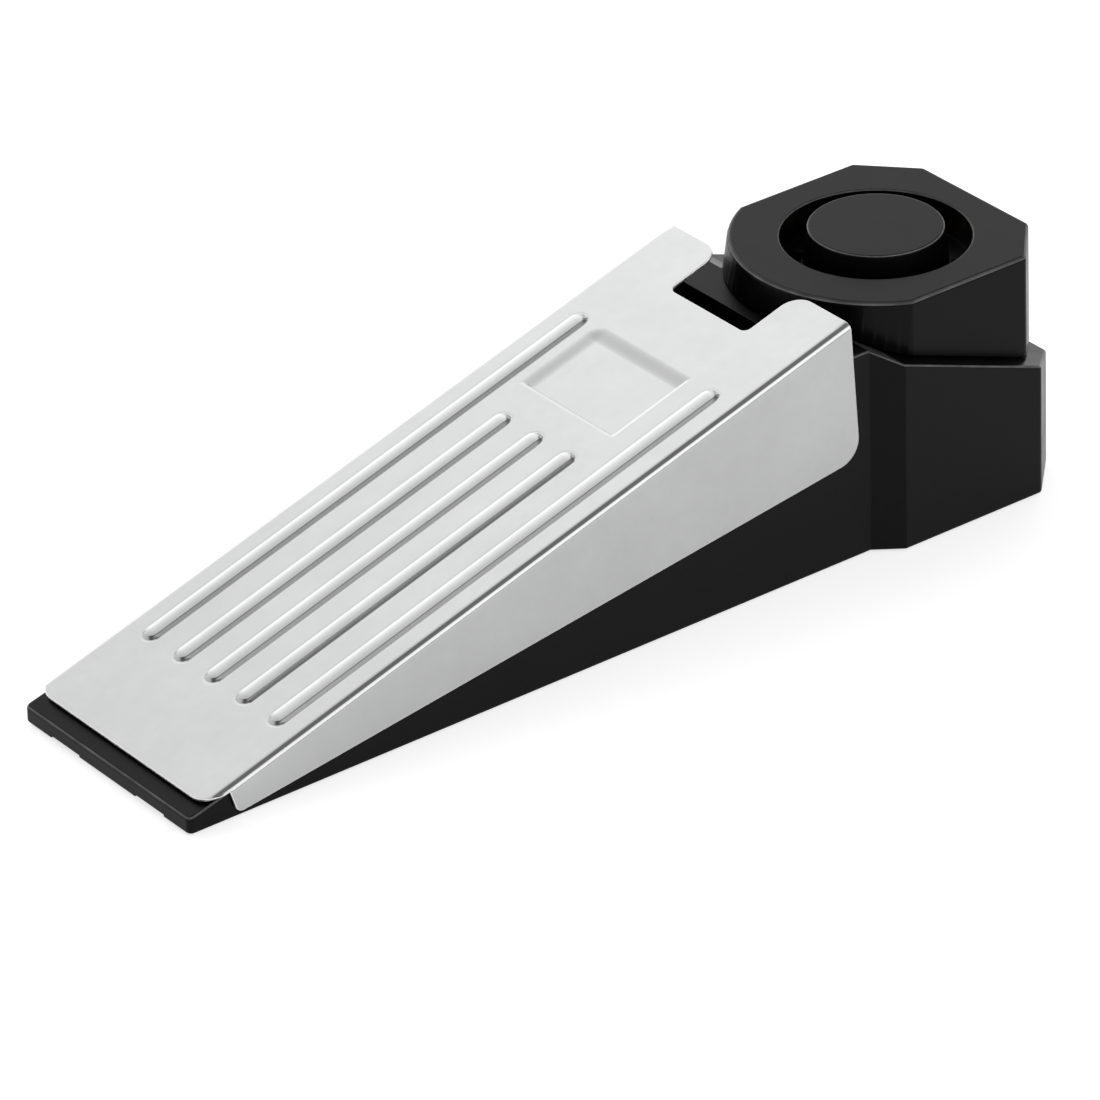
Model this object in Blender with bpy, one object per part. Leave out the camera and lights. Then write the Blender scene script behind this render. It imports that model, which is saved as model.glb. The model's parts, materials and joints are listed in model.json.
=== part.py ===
"""Door stop alarm: a wedge with a sprung metal plate over a trigger switch, and a siren at its tall end.

Units are metres and +Z is up. Inside the model, x runs from the thin nose (0) to the rear wall,
y is across the wedge, and z is measured from the underside of the plastic base. One empty, wedge_frame,
carries every piece and moves that frame so that the object stands centred on the world's origin.
"""

import math

import bmesh
import bpy
from mathutils import Matrix, Vector

MM = 0.001

# Clearance between pieces that touch, and how far every cutter runs past what it cuts
GAP = 0.3 * MM
OVERRUN = 2.0 * MM
JOIN_DEPTH = 0.4 * MM

# Base moulding
LENGTH = 156.0 * MM
WEDGE_WIDTH = 39.4 * MM
HOUSING_WIDTH = 45.4 * MM
NOSE_HEIGHT = 2.5 * MM
DECK_HEIGHT = 32.3 * MM
LEDGE_REAR_HEIGHT = 18.2 * MM
LEDGE_SHOULDER_DROP = 2.4 * MM
DECK_LENGTH = 6.8 * MM
HOUSING_LENGTH = 36.6 * MM
FLARE_LENGTH = 4.1 * MM
REAR_CHAMFER = 7.0 * MM
BASE_DRAFT = 0.35 * MM
BASE_CORNER_RADIUS = 0.9 * MM
BASE_EDGE_RADIUS = 0.6 * MM
BASE_WALL = 2.0 * MM
BASE_SKIN = 1.6 * MM
CAVITY_START = 15.0 * MM
NOSE_NOTCH_DEPTH = 0.55 * MM
NOSE_NOTCH_LENGTH = 3.0 * MM
NOSE_NOTCH_INNER = 6.5 * MM
NOSE_NOTCH_WIDTH = 7.1 * MM

# Well under the rear of the plate, with the trigger switch and the two return springs
WELL_LENGTH = 15.4 * MM
WELL_DEPTH = 9.8 * MM
WELL_HALF_WIDTH = 17.6 * MM
LEAD_WINDOW_WIDTH = 7.0 * MM
LEAD_WINDOW_HEIGHT = 2.8 * MM

# Bottom cover, its lid and the rubber pads
COVER_THICKNESS = 2.0 * MM
COVER_RIM = 1.0 * MM
COVER_START = 12.5 * MM
LID_LIP = 1.5 * MM
LID_SIDE_CLEARANCE = 0.25 * MM
LID_NOTCH_WIDTH = 9.0 * MM
LID_NOTCH_DEPTH = 1.1 * MM
PAD_THICKNESS = 1.0 * MM
PAD_PROUD = 0.3 * MM
PAD_SIDE_INSET = 4.7 * MM
FRONT_PAD_START = 14.6 * MM
FRONT_PAD_LENGTH = 10.0 * MM
MIDDLE_PAD_SHARES = (0.2945, 0.6901)
REAR_PAD_LENGTH = 17.0 * MM
REAR_PAD_WIDTH = 8.0 * MM
REAR_PAD_INSET = 3.9 * MM

# Stainless plate, measured along its own slope from the foot of its front edge
PLATE_LIFT_AT_NOSE = 0.85 * MM
PLATE_LIFT_AT_DECK = 5.4 * MM
FLANGE_CLEARANCE = 0.2 * MM
PLATE_SHEET = 0.5 * MM
PLATE_BEND_RADIUS = 1.15 * MM
PLATE_FRONT = 2.5 * MM
PLATE_OVER_DECK = 2.66 * MM
PLATE_CORNER_RADIUS = 2.8 * MM
EAR_CORNER_RADIUS = 3.2 * MM
NOTCH_DEPTH = 9.9 * MM
NOTCH_WIDTH = 17.1 * MM
NOTCH_CORNER_RADIUS = 1.2 * MM
FLANGE_START = 6.6 * MM
FLANGE_FRONT_DEPTH = 4.5 * MM
FLANGE_REAR_DEPTH = 21.5 * MM
FLANGE_REAR_LEAN = 4.8 * MM
FLANGE_FRONT_RADIUS = 1.2 * MM
FLANGE_REAR_RADIUS = 3.8 * MM
RIB_START = 18.1 * MM
LONG_RIB_TO_REAR = 20.7 * MM
SHORT_RIB_TO_PANEL = 6.0 * MM
RIB_WIDTH = 2.4 * MM
RIB_HEIGHT = 0.6 * MM
RIB_LEVEL_SHARES = (0.38, 0.71, 0.92)
INNER_RIB_PITCH = 7.15 * MM
OUTER_RIB_OFFSET = 14.6 * MM
PANEL_TO_REAR = 23.5 * MM
PANEL_LENGTH = 11.8 * MM
PANEL_WIDTH = 18.1 * MM
PANEL_DEPTH = 0.8 * MM
PANEL_WALL_RUN = 1.2 * MM

# Hinge of the plate, hidden inside the nose
HINGE_X = 8.0 * MM
HINGE_HEIGHT = 2.9 * MM
HINGE_PIN_RADIUS = 0.7 * MM
HINGE_LUG_RADIUS = 1.7 * MM
HINGE_LUG_SPACING = 12.0 * MM
HINGE_PIN_INSET = 0.6 * MM

# Siren head
HEAD_RISE = 5.1 * MM
HEAD_WIDTH = 38.8 * MM
HEAD_FRONT_EASE = 2.5 * MM
HEAD_FRONT_SETBACK = 3.1 * MM
HEAD_REAR_SETBACK = 0.2 * MM
HEAD_DRAFT = 0.25 * MM
HEAD_FRONT_LEAN = 1.1 * MM
HEAD_CHAMFER_LENGTH = 7.2 * MM
HEAD_CHAMFER_DEPTH = 7.8 * MM
HEAD_WALL = 1.8 * MM
HEAD_SKIN = 2.0 * MM
HEAD_EDGE_RADIUS = 0.6 * MM
SIREN_FROM_REAR = 19.1 * MM
GROOVE_RADIUS = 13.9 * MM
GROOVE_LEAD_IN = 0.3 * MM
GROOVE_DEPTH = 5.0 * MM
SIREN_FLOOR = 1.4 * MM
CUP_SKIRT_HEIGHT = 3.4 * MM
CUP_WALL = 1.4 * MM
SOUND_SLOT_WIDTH = 2.6 * MM
SOUND_SLOT_SWEEP = math.radians(88)
HOOK_OFFSET = 4.5 * MM
HOOK_WIDTH = 3.0 * MM
HOOK_THICKNESS = 1.6 * MM
HOOK_TOE = 1.2 * MM

# Round cap in the middle of the siren, with its stem
CAP_RADIUS = 9.95 * MM
CAP_FOOT_RADIUS = 10.6 * MM
CAP_PROUD = 1.5 * MM
CAP_EDGE_RADIUS = 0.35 * MM
CAP_STEM_RADIUS = 1.8 * MM

# Sounder under the siren
HOLDER_WALL = 1.3 * MM
HOLDER_STEP = 1.7 * MM
HOLDER_STEP_HEIGHT = 1.0 * MM
DISC_THICKNESS = 0.4 * MM
CERAMIC_RADIUS = 9.5 * MM
CERAMIC_THICKNESS = 0.3 * MM

# Trigger switch, plunger and springs
TRIGGER_BODY_LENGTH = 7.0 * MM
TRIGGER_BODY_WIDTH = 12.0 * MM
TRIGGER_BODY_HEIGHT = 6.5 * MM
PLUNGER_RADIUS = 2.0 * MM
PLUNGER_DOME = 0.9 * MM
PLUNGER_TRAVEL = 2.3 * MM
PLUNGER_BORE_FLOOR = 0.6 * MM
SPRING_OFFSET = 13.3 * MM
SPRING_X_FROM_DECK = 7.5 * MM
SPRING_RADIUS = 3.1 * MM
SPRING_WIRE_RADIUS = 0.35 * MM
SPRING_TURNS = 5
SPRING_TURN_STEPS = 10
SPRING_POST_HEIGHT = 3.0 * MM

# Nine-volt block battery and its clip
BATTERY_LENGTH = 48.5 * MM
BATTERY_WIDTH = 26.5 * MM
BATTERY_HEIGHT = 17.2 * MM
BATTERY_CORNER_RADIUS = 1.8 * MM
BATTERY_FROM_REAR = 35.6 * MM
TERMINAL_SPACING = 12.7 * MM
TERMINAL_HEIGHT = 2.6 * MM
PLUS_TERMINAL_RADIUS = 2.9 * MM
MINUS_TERMINAL_RADIUS = 3.9 * MM
CLIP_LENGTH = 4.3 * MM
CLIP_WIDTH = 25.0 * MM
CLIP_HEIGHT = 12.0 * MM

# Circuit board and what stands on it
BOARD_LENGTH = 23.0 * MM
BOARD_WIDTH = 29.0 * MM
BOARD_THICKNESS = 1.2 * MM
BOARD_HEIGHT = 7.0 * MM
BOARD_FROM_REAR_WALL = 2.9 * MM
POST_RADIUS = 2.5 * MM
POST_INSET = 3.3 * MM
CHIP_LENGTH = 9.5 * MM
CHIP_WIDTH = 6.4 * MM
CHIP_HEIGHT = 3.2 * MM
CHIP_AHEAD_OF_DIAL = 1.2 * MM
COIL_RADIUS = 4.0 * MM
COIL_HEIGHT = 8.0 * MM
COIL_INSET = 6.0 * MM
TRANSISTOR_RADIUS = 2.3 * MM
TRANSISTOR_HEIGHT = 5.0 * MM
TRANSISTOR_BEHIND_DIAL = 3.0 * MM
CAPACITOR_RADIUS = 3.1 * MM
CAPACITOR_HEIGHT = 6.8 * MM
CAPACITOR_INSET = 5.0 * MM
CAPACITOR_CLEARANCE = 0.9 * MM
RESISTOR_RADIUS = 1.1 * MM
RESISTOR_LENGTH = 6.0 * MM

# Power switch in the rear wall
SWITCH_LENGTH = 4.6 * MM
SWITCH_WIDTH = 10.0 * MM
SWITCH_HEIGHT = 4.6 * MM
KNOB_WIDTH = 3.0 * MM
KNOB_HEIGHT = 2.4 * MM
KNOB_TRAVEL = 4.0 * MM
KNOB_SHY = 0.25 * MM
FINGER_RECESS_DEPTH = 0.9 * MM
FINGER_RECESS_MARGIN = 2.2 * MM

# Sensitivity dial in the bottom cover
DIAL_RADIUS = 4.0 * MM
DIAL_FLANGE = 1.0 * MM
DIAL_SHY = 0.5 * MM
DIAL_SHAFT_RADIUS = 1.5 * MM
DIAL_SLOT_WIDTH = 0.9 * MM
DIAL_SLOT_DEPTH = 0.8 * MM
POT_SIZE = 9.0 * MM
POT_HEIGHT = 2.0 * MM
DIAL_FROM_BOARD_FRONT = 11.0 * MM

# Screws
SCREW_HEAD_RADIUS = 2.1 * MM
SCREW_HEAD_HEIGHT = 0.9 * MM
SCREW_SHANK_RADIUS = 1.1 * MM
SCREW_SLOT_WIDTH = 0.6 * MM
SCREW_SLOT_DEPTH = 0.4 * MM
SCREW_SHY = 0.1 * MM
COVER_SCREW_LENGTH = 5.5 * MM
HEAD_SCREW_LENGTH = 8.0 * MM
BOARD_SCREW_LENGTH = 4.8 * MM
PILOT_EXTRA = 0.5 * MM
BOSS_WALL = 1.5 * MM
FRONT_SCREW_SHARE = 0.1187
MIDDLE_SCREW_SHARE = 0.822
MIDDLE_SCREW_INSET = 4.9 * MM
REAR_SCREW_FROM_HOUSING = 7.6 * MM
REAR_SCREW_INSET = 4.5 * MM
HEAD_SCREW_FROM_REAR = 5.5 * MM
HEAD_SCREW_INSET = 7.7 * MM
HEAD_SCREW_SEAT = 3.4 * MM

# Leads
LEAD_RADIUS = 0.55 * MM
LEAD_SPREAD = 2.0 * MM
BATTERY_LEAD_SPREAD = 6.0 * MM
PIEZO_LEAD_SPREAD = 4.0 * MM

# How finely round shapes are cut
ROUND_SIDES = 32
FINE_ROUND_SIDES = 56
SMALL_ROUND_SIDES = 16
CORNER_STEPS = 4
EDGE_STEPS = 4
ARC_STEPS = 28

# Places worked out from the sizes above
HALF = 0.5
HOUSING_START = LENGTH - HOUSING_LENGTH
DECK_START = HOUSING_START - DECK_LENGTH
WELL_START = DECK_START - WELL_LENGTH
WELL_FLOOR = DECK_HEIGHT - WELL_DEPTH
TOP_SLOPE = (DECK_HEIGHT - NOSE_HEIGHT) / DECK_START
FLARE_END = HOUSING_START + FLARE_LENGTH
LEDGE_FRONT_HEIGHT = DECK_HEIGHT - LEDGE_SHOULDER_DROP
LEDGE_SLOPE = (LEDGE_FRONT_HEIGHT - LEDGE_REAR_HEIGHT) / (LENGTH - FLARE_END)
PLATE_HEIGHT_AT_NOSE = NOSE_HEIGHT + PLATE_LIFT_AT_NOSE
PLATE_HEIGHT_AT_DECK = DECK_HEIGHT + PLATE_LIFT_AT_DECK
PLATE_SLOPE = (PLATE_HEIGHT_AT_DECK - PLATE_HEIGHT_AT_NOSE) / DECK_START
PLATE_ANGLE = math.atan(PLATE_SLOPE)
PLATE_REAR = (DECK_START + PLATE_OVER_DECK) / math.cos(PLATE_ANGLE)
PLATE_WIDTH = WEDGE_WIDTH + (FLANGE_CLEARANCE + PLATE_SHEET) / HALF
PANEL_START = PLATE_REAR - PANEL_TO_REAR - PANEL_LENGTH
LONG_RIB_END = PLATE_REAR - LONG_RIB_TO_REAR
SHORT_RIB_END = PANEL_START - SHORT_RIB_TO_PANEL
SIREN_X = LENGTH - SIREN_FROM_REAR
HEAD_FRONT = DECK_START + HEAD_FRONT_SETBACK
HEAD_FRONT_RADIUS = HEAD_WIDTH * HALF + HEAD_FRONT_EASE
HEAD_REAR = LENGTH - HEAD_REAR_SETBACK
HEAD_HEIGHT = DECK_HEIGHT + HEAD_RISE
SIREN_FLOOR_TOP = HEAD_HEIGHT - GROOVE_DEPTH
SIREN_FLOOR_UNDERSIDE = SIREN_FLOOR_TOP - SIREN_FLOOR
CUP_BOTTOM = SIREN_FLOOR_UNDERSIDE - CUP_SKIRT_HEIGHT
HOLDER_RADIUS = GROOVE_RADIUS + CUP_WALL - GAP
CUP_RADIUS = GROOVE_RADIUS + CUP_WALL + CUP_WALL
BATTERY_REAR = LENGTH - BATTERY_FROM_REAR
BATTERY_FRONT = BATTERY_REAR - BATTERY_LENGTH
BATTERY_BOTTOM = COVER_THICKNESS + GAP
BATTERY_MIDDLE = BATTERY_BOTTOM + BATTERY_HEIGHT * HALF
REAR_WALL_INSIDE = LENGTH - BASE_WALL
BOARD_REAR = REAR_WALL_INSIDE - BOARD_FROM_REAR_WALL
BOARD_FRONT = BOARD_REAR - BOARD_LENGTH
BOARD_TOP = BOARD_HEIGHT + BOARD_THICKNESS
PART_FOOT = BOARD_TOP + GAP
SPRING_X = DECK_START - SPRING_X_FROM_DECK
TRIGGER_X = WELL_START + TRIGGER_BODY_LENGTH * HALF + TRIGGER_BODY_LENGTH * HALF * HALF
DIAL_X = BOARD_FRONT + DIAL_FROM_BOARD_FRONT
REAR_SCREW_X = HOUSING_START + REAR_SCREW_FROM_HOUSING
REAR_SCREW_OFFSET = HOUSING_WIDTH * HALF - REAR_SCREW_INSET
HEAD_SCREW_X = LENGTH - HEAD_SCREW_FROM_REAR
HEAD_SCREW_OFFSET = HEAD_WIDTH * HALF - HEAD_SCREW_INSET
PILOT_RADIUS = SCREW_SHANK_RADIUS + GAP
BOSS_RADIUS = PILOT_RADIUS + BOSS_WALL
LID_FRONT = BATTERY_FRONT - LID_LIP - GAP
LID_REAR = BATTERY_REAR + LID_LIP + GAP
PAD_HALF_WIDTH = WEDGE_WIDTH * HALF - PAD_SIDE_INSET
FRONT_PAD_END = FRONT_PAD_START + FRONT_PAD_LENGTH
PAD_TO_LID = LID_FRONT - FRONT_PAD_END
FRONT_SCREW_X = FRONT_PAD_END + PAD_TO_LID * FRONT_SCREW_SHARE
MIDDLE_PAD_RANGE = tuple(FRONT_PAD_END + PAD_TO_LID * share for share in MIDDLE_PAD_SHARES)
MIDDLE_SCREW_X = FRONT_PAD_END + PAD_TO_LID * MIDDLE_SCREW_SHARE
MIDDLE_SCREW_OFFSET = WEDGE_WIDTH * HALF - MIDDLE_SCREW_INSET
LID_HALF_WIDTH = BATTERY_WIDTH * HALF + LID_SIDE_CLEARANCE + LID_LIP
KNOB_REST_Y = -KNOB_TRAVEL * HALF
SWITCH_MIDDLE = PART_FOOT + SWITCH_HEIGHT * HALF

# Colour, roughness and metallic value of each finish
FINISHES = {
    "black_plastic": ((0.018, 0.018, 0.019), 0.42, 0.0),
    "black_rubber": ((0.012, 0.012, 0.012), 0.85, 0.0),
    "satin_steel": ((0.62, 0.62, 0.62), 0.36, 1.0),
    "bright_steel": ((0.66, 0.66, 0.67), 0.22, 1.0),
    "spring_steel": ((0.50, 0.51, 0.53), 0.28, 1.0),
    "brass": ((0.80, 0.58, 0.25), 0.30, 1.0),
    "ceramic": ((0.80, 0.77, 0.68), 0.50, 0.0),
    "grey_plastic": ((0.32, 0.33, 0.34), 0.50, 0.0),
    "white_plastic": ((0.75, 0.75, 0.73), 0.45, 0.0),
    "board_green": ((0.02, 0.16, 0.06), 0.40, 0.0),
    "chip_black": ((0.03, 0.03, 0.03), 0.50, 0.0),
    "capacitor_blue": ((0.03, 0.06, 0.20), 0.35, 0.0),
    "resistor_tan": ((0.55, 0.42, 0.26), 0.55, 0.0),
    "ferrite": ((0.10, 0.10, 0.11), 0.60, 0.0),
    "battery_jacket": ((0.10, 0.11, 0.13), 0.30, 0.6),
    "red_lead": ((0.55, 0.02, 0.02), 0.45, 0.0),
    "black_lead": ((0.02, 0.02, 0.02), 0.45, 0.0),
}


def clear_scene():
    for thing in list(bpy.data.objects):
        bpy.data.objects.remove(thing, do_unlink=True)


def finish(name):
    """The Principled material of one finish, made once."""
    if name in bpy.data.materials:
        return bpy.data.materials[name]
    colour, roughness, metallic = FINISHES[name]
    material = bpy.data.materials.new(name)
    material.use_nodes = True
    shader = material.node_tree.nodes["Principled BSDF"]
    shader.inputs["Base Color"].default_value = (*colour, 1.0)
    shader.inputs["Roughness"].default_value = roughness
    shader.inputs["Metallic"].default_value = metallic
    material.diffuse_color = (*colour, 1.0)
    return material


def shape(name, points, faces):
    """A mesh object from points and faces, with its faces turned outwards. It starts as a helper."""
    mesh = bpy.data.meshes.new(name)
    mesh.from_pydata([tuple(point) for point in points], [], faces)
    work = bmesh.new()
    work.from_mesh(mesh)
    bmesh.ops.recalc_face_normals(work, faces=work.faces)
    work.to_mesh(mesh)
    work.free()
    thing = bpy.data.objects.new(name, mesh)
    bpy.context.scene.collection.objects.link(thing)
    thing.hide_render = True
    thing.display_type = "WIRE"
    thing.parent = bpy.data.objects["wedge_frame"]
    return thing


def piece(thing, finish_name, smooth=False):
    """Turns a helper into a real piece with its own finish."""
    thing.hide_render = False
    thing.display_type = "TEXTURED"
    thing.data.materials.append(finish(finish_name))
    if smooth:
        thing.data.shade_smooth()
        thing.data.set_sharp_from_angle(angle=math.radians(35))


def set_origin(thing, place):
    """Moves the object's origin to a point without moving its shape."""
    offset = Vector(place)
    thing.data.transform(Matrix.Translation(-offset))
    thing.location = offset


def loft(name, rings):
    """A closed solid through rings of equal point counts, with flat ends."""
    count = len(rings[0])
    points = [point for ring in rings for point in ring]
    faces = [list(range(count))]
    for level in range(len(rings) - 1):
        low = level * count
        high = low + count
        for index in range(count):
            after = (index + 1) % count
            faces.append([low + index, low + after, high + after, high + index])
    last = (len(rings) - 1) * count
    faces.append([last + index for index in range(count)])
    return shape(name, points, faces)


def upright(name, outline, bottom, top):
    """An outline in x and y, extruded upwards."""
    return loft(name, [[(x, y, z) for x, y in outline] for z in (bottom, top)])


def crosswise(name, outline, left, right):
    """An outline in x and z, extruded across the wedge."""
    return loft(name, [[(x, y, z) for x, z in outline] for y in (left, right)])


def block(name, x_range, y_range, z_range):
    x_low, x_high = x_range
    y_low, y_high = y_range
    outline = [(x_low, y_low), (x_high, y_low), (x_high, y_high), (x_low, y_high)]
    return upright(name, outline, *z_range)


def rod(name, start, end, radius, sides=ROUND_SIDES):
    """A cylinder between two points."""
    start = Vector(start)
    axis = Vector(end) - start
    turn = axis.to_track_quat("Z", "Y")
    rings = []
    for place in (start, start + axis):
        ring = []
        for index in range(sides):
            angle = math.tau * index / sides
            ring.append(place + turn @ Vector((radius * math.cos(angle), radius * math.sin(angle), 0)))
        rings.append(ring)
    return loft(name, rings)


def turned(name, profile, centre, sides=ROUND_SIDES):
    """A profile of (radius, z) turned round a vertical axis. A radius of 0 closes on the axis."""
    x, y = centre
    points = []
    starts = []
    for radius, z in profile:
        starts.append((len(points), radius == 0))
        turns = 1 if radius == 0 else sides
        for index in range(turns):
            angle = math.tau * index / sides
            points.append((x + radius * math.cos(angle), y + radius * math.sin(angle), z))
    closed = profile[0][0] != 0
    pairs = list(zip(starts, starts[1:]))
    if closed:
        pairs.append((starts[-1], starts[0]))
    faces = []
    for (low, low_pole), (high, high_pole) in pairs:
        for index in range(sides):
            after = (index + 1) % sides
            corners = [low] if low_pole else [low + index, low + after]
            corners += [high] if high_pole else [high + after, high + index]
            if len(corners) > 2:
                faces.append(corners)
    return shape(name, points, faces)


def boolean(target, other, operation):
    modifier = target.modifiers.new(f"{operation.lower()} {other.name}", "BOOLEAN")
    modifier.operation = operation
    modifier.solver = "EXACT"
    modifier.object = other


def cut(target, other):
    boolean(target, other, "DIFFERENCE")


def add(target, other):
    boolean(target, other, "UNION")


def keep(target, other):
    boolean(target, other, "INTERSECT")


def round_edges(target, width, steps=2, angle=40):
    """Rounds every edge that is sharper than the angle, in degrees."""
    modifier = target.modifiers.new("rounded edges", "BEVEL")
    modifier.width = width
    modifier.segments = steps
    modifier.limit_method = "ANGLE"
    modifier.angle_limit = math.radians(angle)
    modifier.use_clamp_overlap = True


def rounded(corners, steps=CORNER_STEPS):
    """An outline whose corners (x, y, radius) are rounded where the radius isn't 0."""
    outline = []
    count = len(corners)
    for index, (x, y, radius) in enumerate(corners):
        if radius == 0:
            outline.append((x, y))
            continue
        here = Vector((x, y))
        before = (Vector(corners[index - 1][:2]) - here).normalized()
        after = (Vector(corners[(index + 1) % count][:2]) - here).normalized()
        half_angle = before.angle(after) * HALF
        reach = radius / math.tan(half_angle)
        centre = here + (before + after).normalized() * (radius / math.sin(half_angle))
        first = here + before * reach - centre
        last = here + after * reach - centre
        sweep = first.angle_signed(last)
        for step in range(steps + 1):
            turn = Matrix.Rotation(-sweep * step / steps, 2)
            outline.append(tuple(centre + turn @ first))
    return outline


def inset(outline, distance):
    """The outline, drawn anticlockwise, moved inwards by a distance."""
    moved = []
    count = len(outline)
    for index in range(count):
        before = Vector(outline[index - 1])
        here = Vector(outline[index])
        after = Vector(outline[(index + 1) % count])
        inward = []
        for edge in (here - before, after - here):
            edge.normalize()
            inward.append(Vector((-edge.y, edge.x)))
        middle = inward[0] + inward[1]
        middle *= distance / (HALF * middle.dot(middle))
        moved.append(tuple(here + middle))
    return moved


def wedge_top(x):
    return NOSE_HEIGHT + TOP_SLOPE * x


def ledge_top(x):
    """Height of the sloping ledge behind the flare."""
    return LEDGE_FRONT_HEIGHT - LEDGE_SLOPE * (x - FLARE_END)


def plate_underside(x):
    sheet = PLATE_SHEET / math.cos(PLATE_ANGLE)
    return PLATE_HEIGHT_AT_NOSE + PLATE_SLOPE * x - sheet


def base_corners():
    """Plan of the base: the wedge, its flare into the rear housing, and the cut rear corners."""
    wedge = WEDGE_WIDTH * HALF
    housing = HOUSING_WIDTH * HALF
    chamfer_start = LENGTH - REAR_CHAMFER
    chamfer_end = housing - REAR_CHAMFER
    near = [
        (0, -wedge, BASE_CORNER_RADIUS),
        (HOUSING_START, -wedge, 0),
        (FLARE_END, -housing, 0),
        (chamfer_start, -housing, BASE_CORNER_RADIUS),
        (LENGTH, -chamfer_end, BASE_CORNER_RADIUS),
    ]
    far = [(x, -y, radius) for x, y, radius in reversed(near)]
    return near + far


def base_plan(distance):
    """The base's plan, moved inwards, with square corners."""
    return inset([(x, y) for x, y, _ in base_corners()], distance)


def above_top(name, drop):
    """A cutter for all that lies above the base's top surfaces, lowered by a distance."""
    front = -OVERRUN
    rear = LENGTH + OVERRUN
    sky = HEAD_HEIGHT + OVERRUN
    outline = [
        (front, wedge_top(front) - drop),
        (DECK_START, DECK_HEIGHT - drop),
        (HOUSING_START, DECK_HEIGHT - drop),
        (FLARE_END, LEDGE_FRONT_HEIGHT - drop),
        (rear, ledge_top(rear) - drop),
        (rear, sky),
        (front, sky),
    ]
    return crosswise(name, outline, -HOUSING_WIDTH, HOUSING_WIDTH)


def below_well(name, distance):
    """The well's space with a wall of some thickness round it, open at the top."""
    half_width = WELL_HALF_WIDTH + distance
    x_range = (WELL_START - distance, DECK_START + distance)
    return block(name, x_range, (-half_width, half_width), (WELL_FLOOR - distance, HEAD_HEIGHT))


def front_block(name, end):
    """A cutter for all that lies ahead of some distance from the nose."""
    across = (-HOUSING_WIDTH, HOUSING_WIDTH)
    return block(name, (-OVERRUN, end), across, (-OVERRUN * 2, HEAD_HEIGHT * 2))


def base_cavity():
    """The hollow of the base, open underneath, that leaves the walls, the top skin and the well."""
    plan = base_plan(BASE_WALL)
    hollow = upright("base_cavity", plan, -OVERRUN, HEAD_HEIGHT)
    cut(hollow, above_top("cavity_roof", BASE_SKIN))
    cut(hollow, below_well("well_wall", BASE_SKIN))
    cut(hollow, front_block("solid_nose", CAVITY_START))
    return hollow


def post(name, x, y, bottom, top, radius=PILOT_RADIUS):
    """A small upright cylinder. Without a radius it is as wide as the hole for a screw."""
    return rod(name, (x, y, bottom), (x, y, top), radius, SMALL_ROUND_SIDES)


def boss(name, x, y, bottom):
    """A screw boss that hangs from the base's top skin."""
    pillar = rod(name, (x, y, bottom), (x, y, HEAD_HEIGHT), BOSS_RADIUS, SMALL_ROUND_SIDES)
    cut(pillar, above_top(f"{name}_roof", BASE_SKIN * HALF))
    return pillar


def cover_screw_places():
    return [
        (FRONT_SCREW_X, 0),
        (MIDDLE_SCREW_X, -MIDDLE_SCREW_OFFSET),
        (MIDDLE_SCREW_X, MIDDLE_SCREW_OFFSET),
        (REAR_SCREW_X, -REAR_SCREW_OFFSET),
        (REAR_SCREW_X, REAR_SCREW_OFFSET),
    ]


def head_screw_places():
    return [(HEAD_SCREW_X, -HEAD_SCREW_OFFSET), (HEAD_SCREW_X, HEAD_SCREW_OFFSET)]


def head_screw_seat():
    return ledge_top(HEAD_SCREW_X) - HEAD_SCREW_SEAT


def hinge_places():
    return [-HINGE_LUG_SPACING, 0, HINGE_LUG_SPACING]


def make_base():
    """The black wedge and rear housing, moulded in one."""
    outline = rounded(base_corners())
    top = inset(outline, BASE_DRAFT)
    rings = [[(x, y, 0) for x, y in outline], [(x, y, HEAD_HEIGHT) for x, y in top]]
    base = loft("base_shell", rings)
    cut(base, above_top("base_top", 0))
    round_edges(base, BASE_EDGE_RADIUS, EDGE_STEPS)
    cut(base, base_cavity())
    cut(base, below_well("well", 0))
    for index, (x, y) in enumerate(cover_screw_places()):
        bottom = COVER_THICKNESS + GAP
        add(base, boss(f"cover_boss_{index}", x, y, bottom))
        top_of_hole = COVER_SCREW_LENGTH + SCREW_HEAD_HEIGHT + PILOT_EXTRA
        cut(base, post(f"cover_pilot_{index}", x, y, -OVERRUN, top_of_hole))
    for index, (x, y) in enumerate(head_screw_places()):
        add(base, boss(f"head_seat_{index}", x, y, head_screw_seat()))
        cut(base, post(f"head_clearance_{index}", x, y, 0, DECK_HEIGHT))
    cut(base, cover_rebate())
    cut_nose(base)
    cut_siren_opening(base)
    cut_rear_switch(base)
    add_spring_posts(base)
    window = LEAD_WINDOW_WIDTH * HALF
    bottom = WELL_FLOOR + GAP + TRIGGER_BODY_HEIGHT * HALF - LEAD_WINDOW_HEIGHT
    x_range = (DECK_START - OVERRUN, DECK_START + BASE_SKIN + OVERRUN)
    cut(base, block("lead_window", x_range, (-window, window), (bottom, bottom + LEAD_WINDOW_HEIGHT)))
    piece(base, "black_plastic", smooth=True)


def cover_rebate():
    plan = base_plan(COVER_RIM)
    rebate = upright("cover_rebate", plan, -OVERRUN, COVER_THICKNESS + GAP)
    cut(rebate, front_block("rebate_front", COVER_START))
    return rebate


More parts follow.
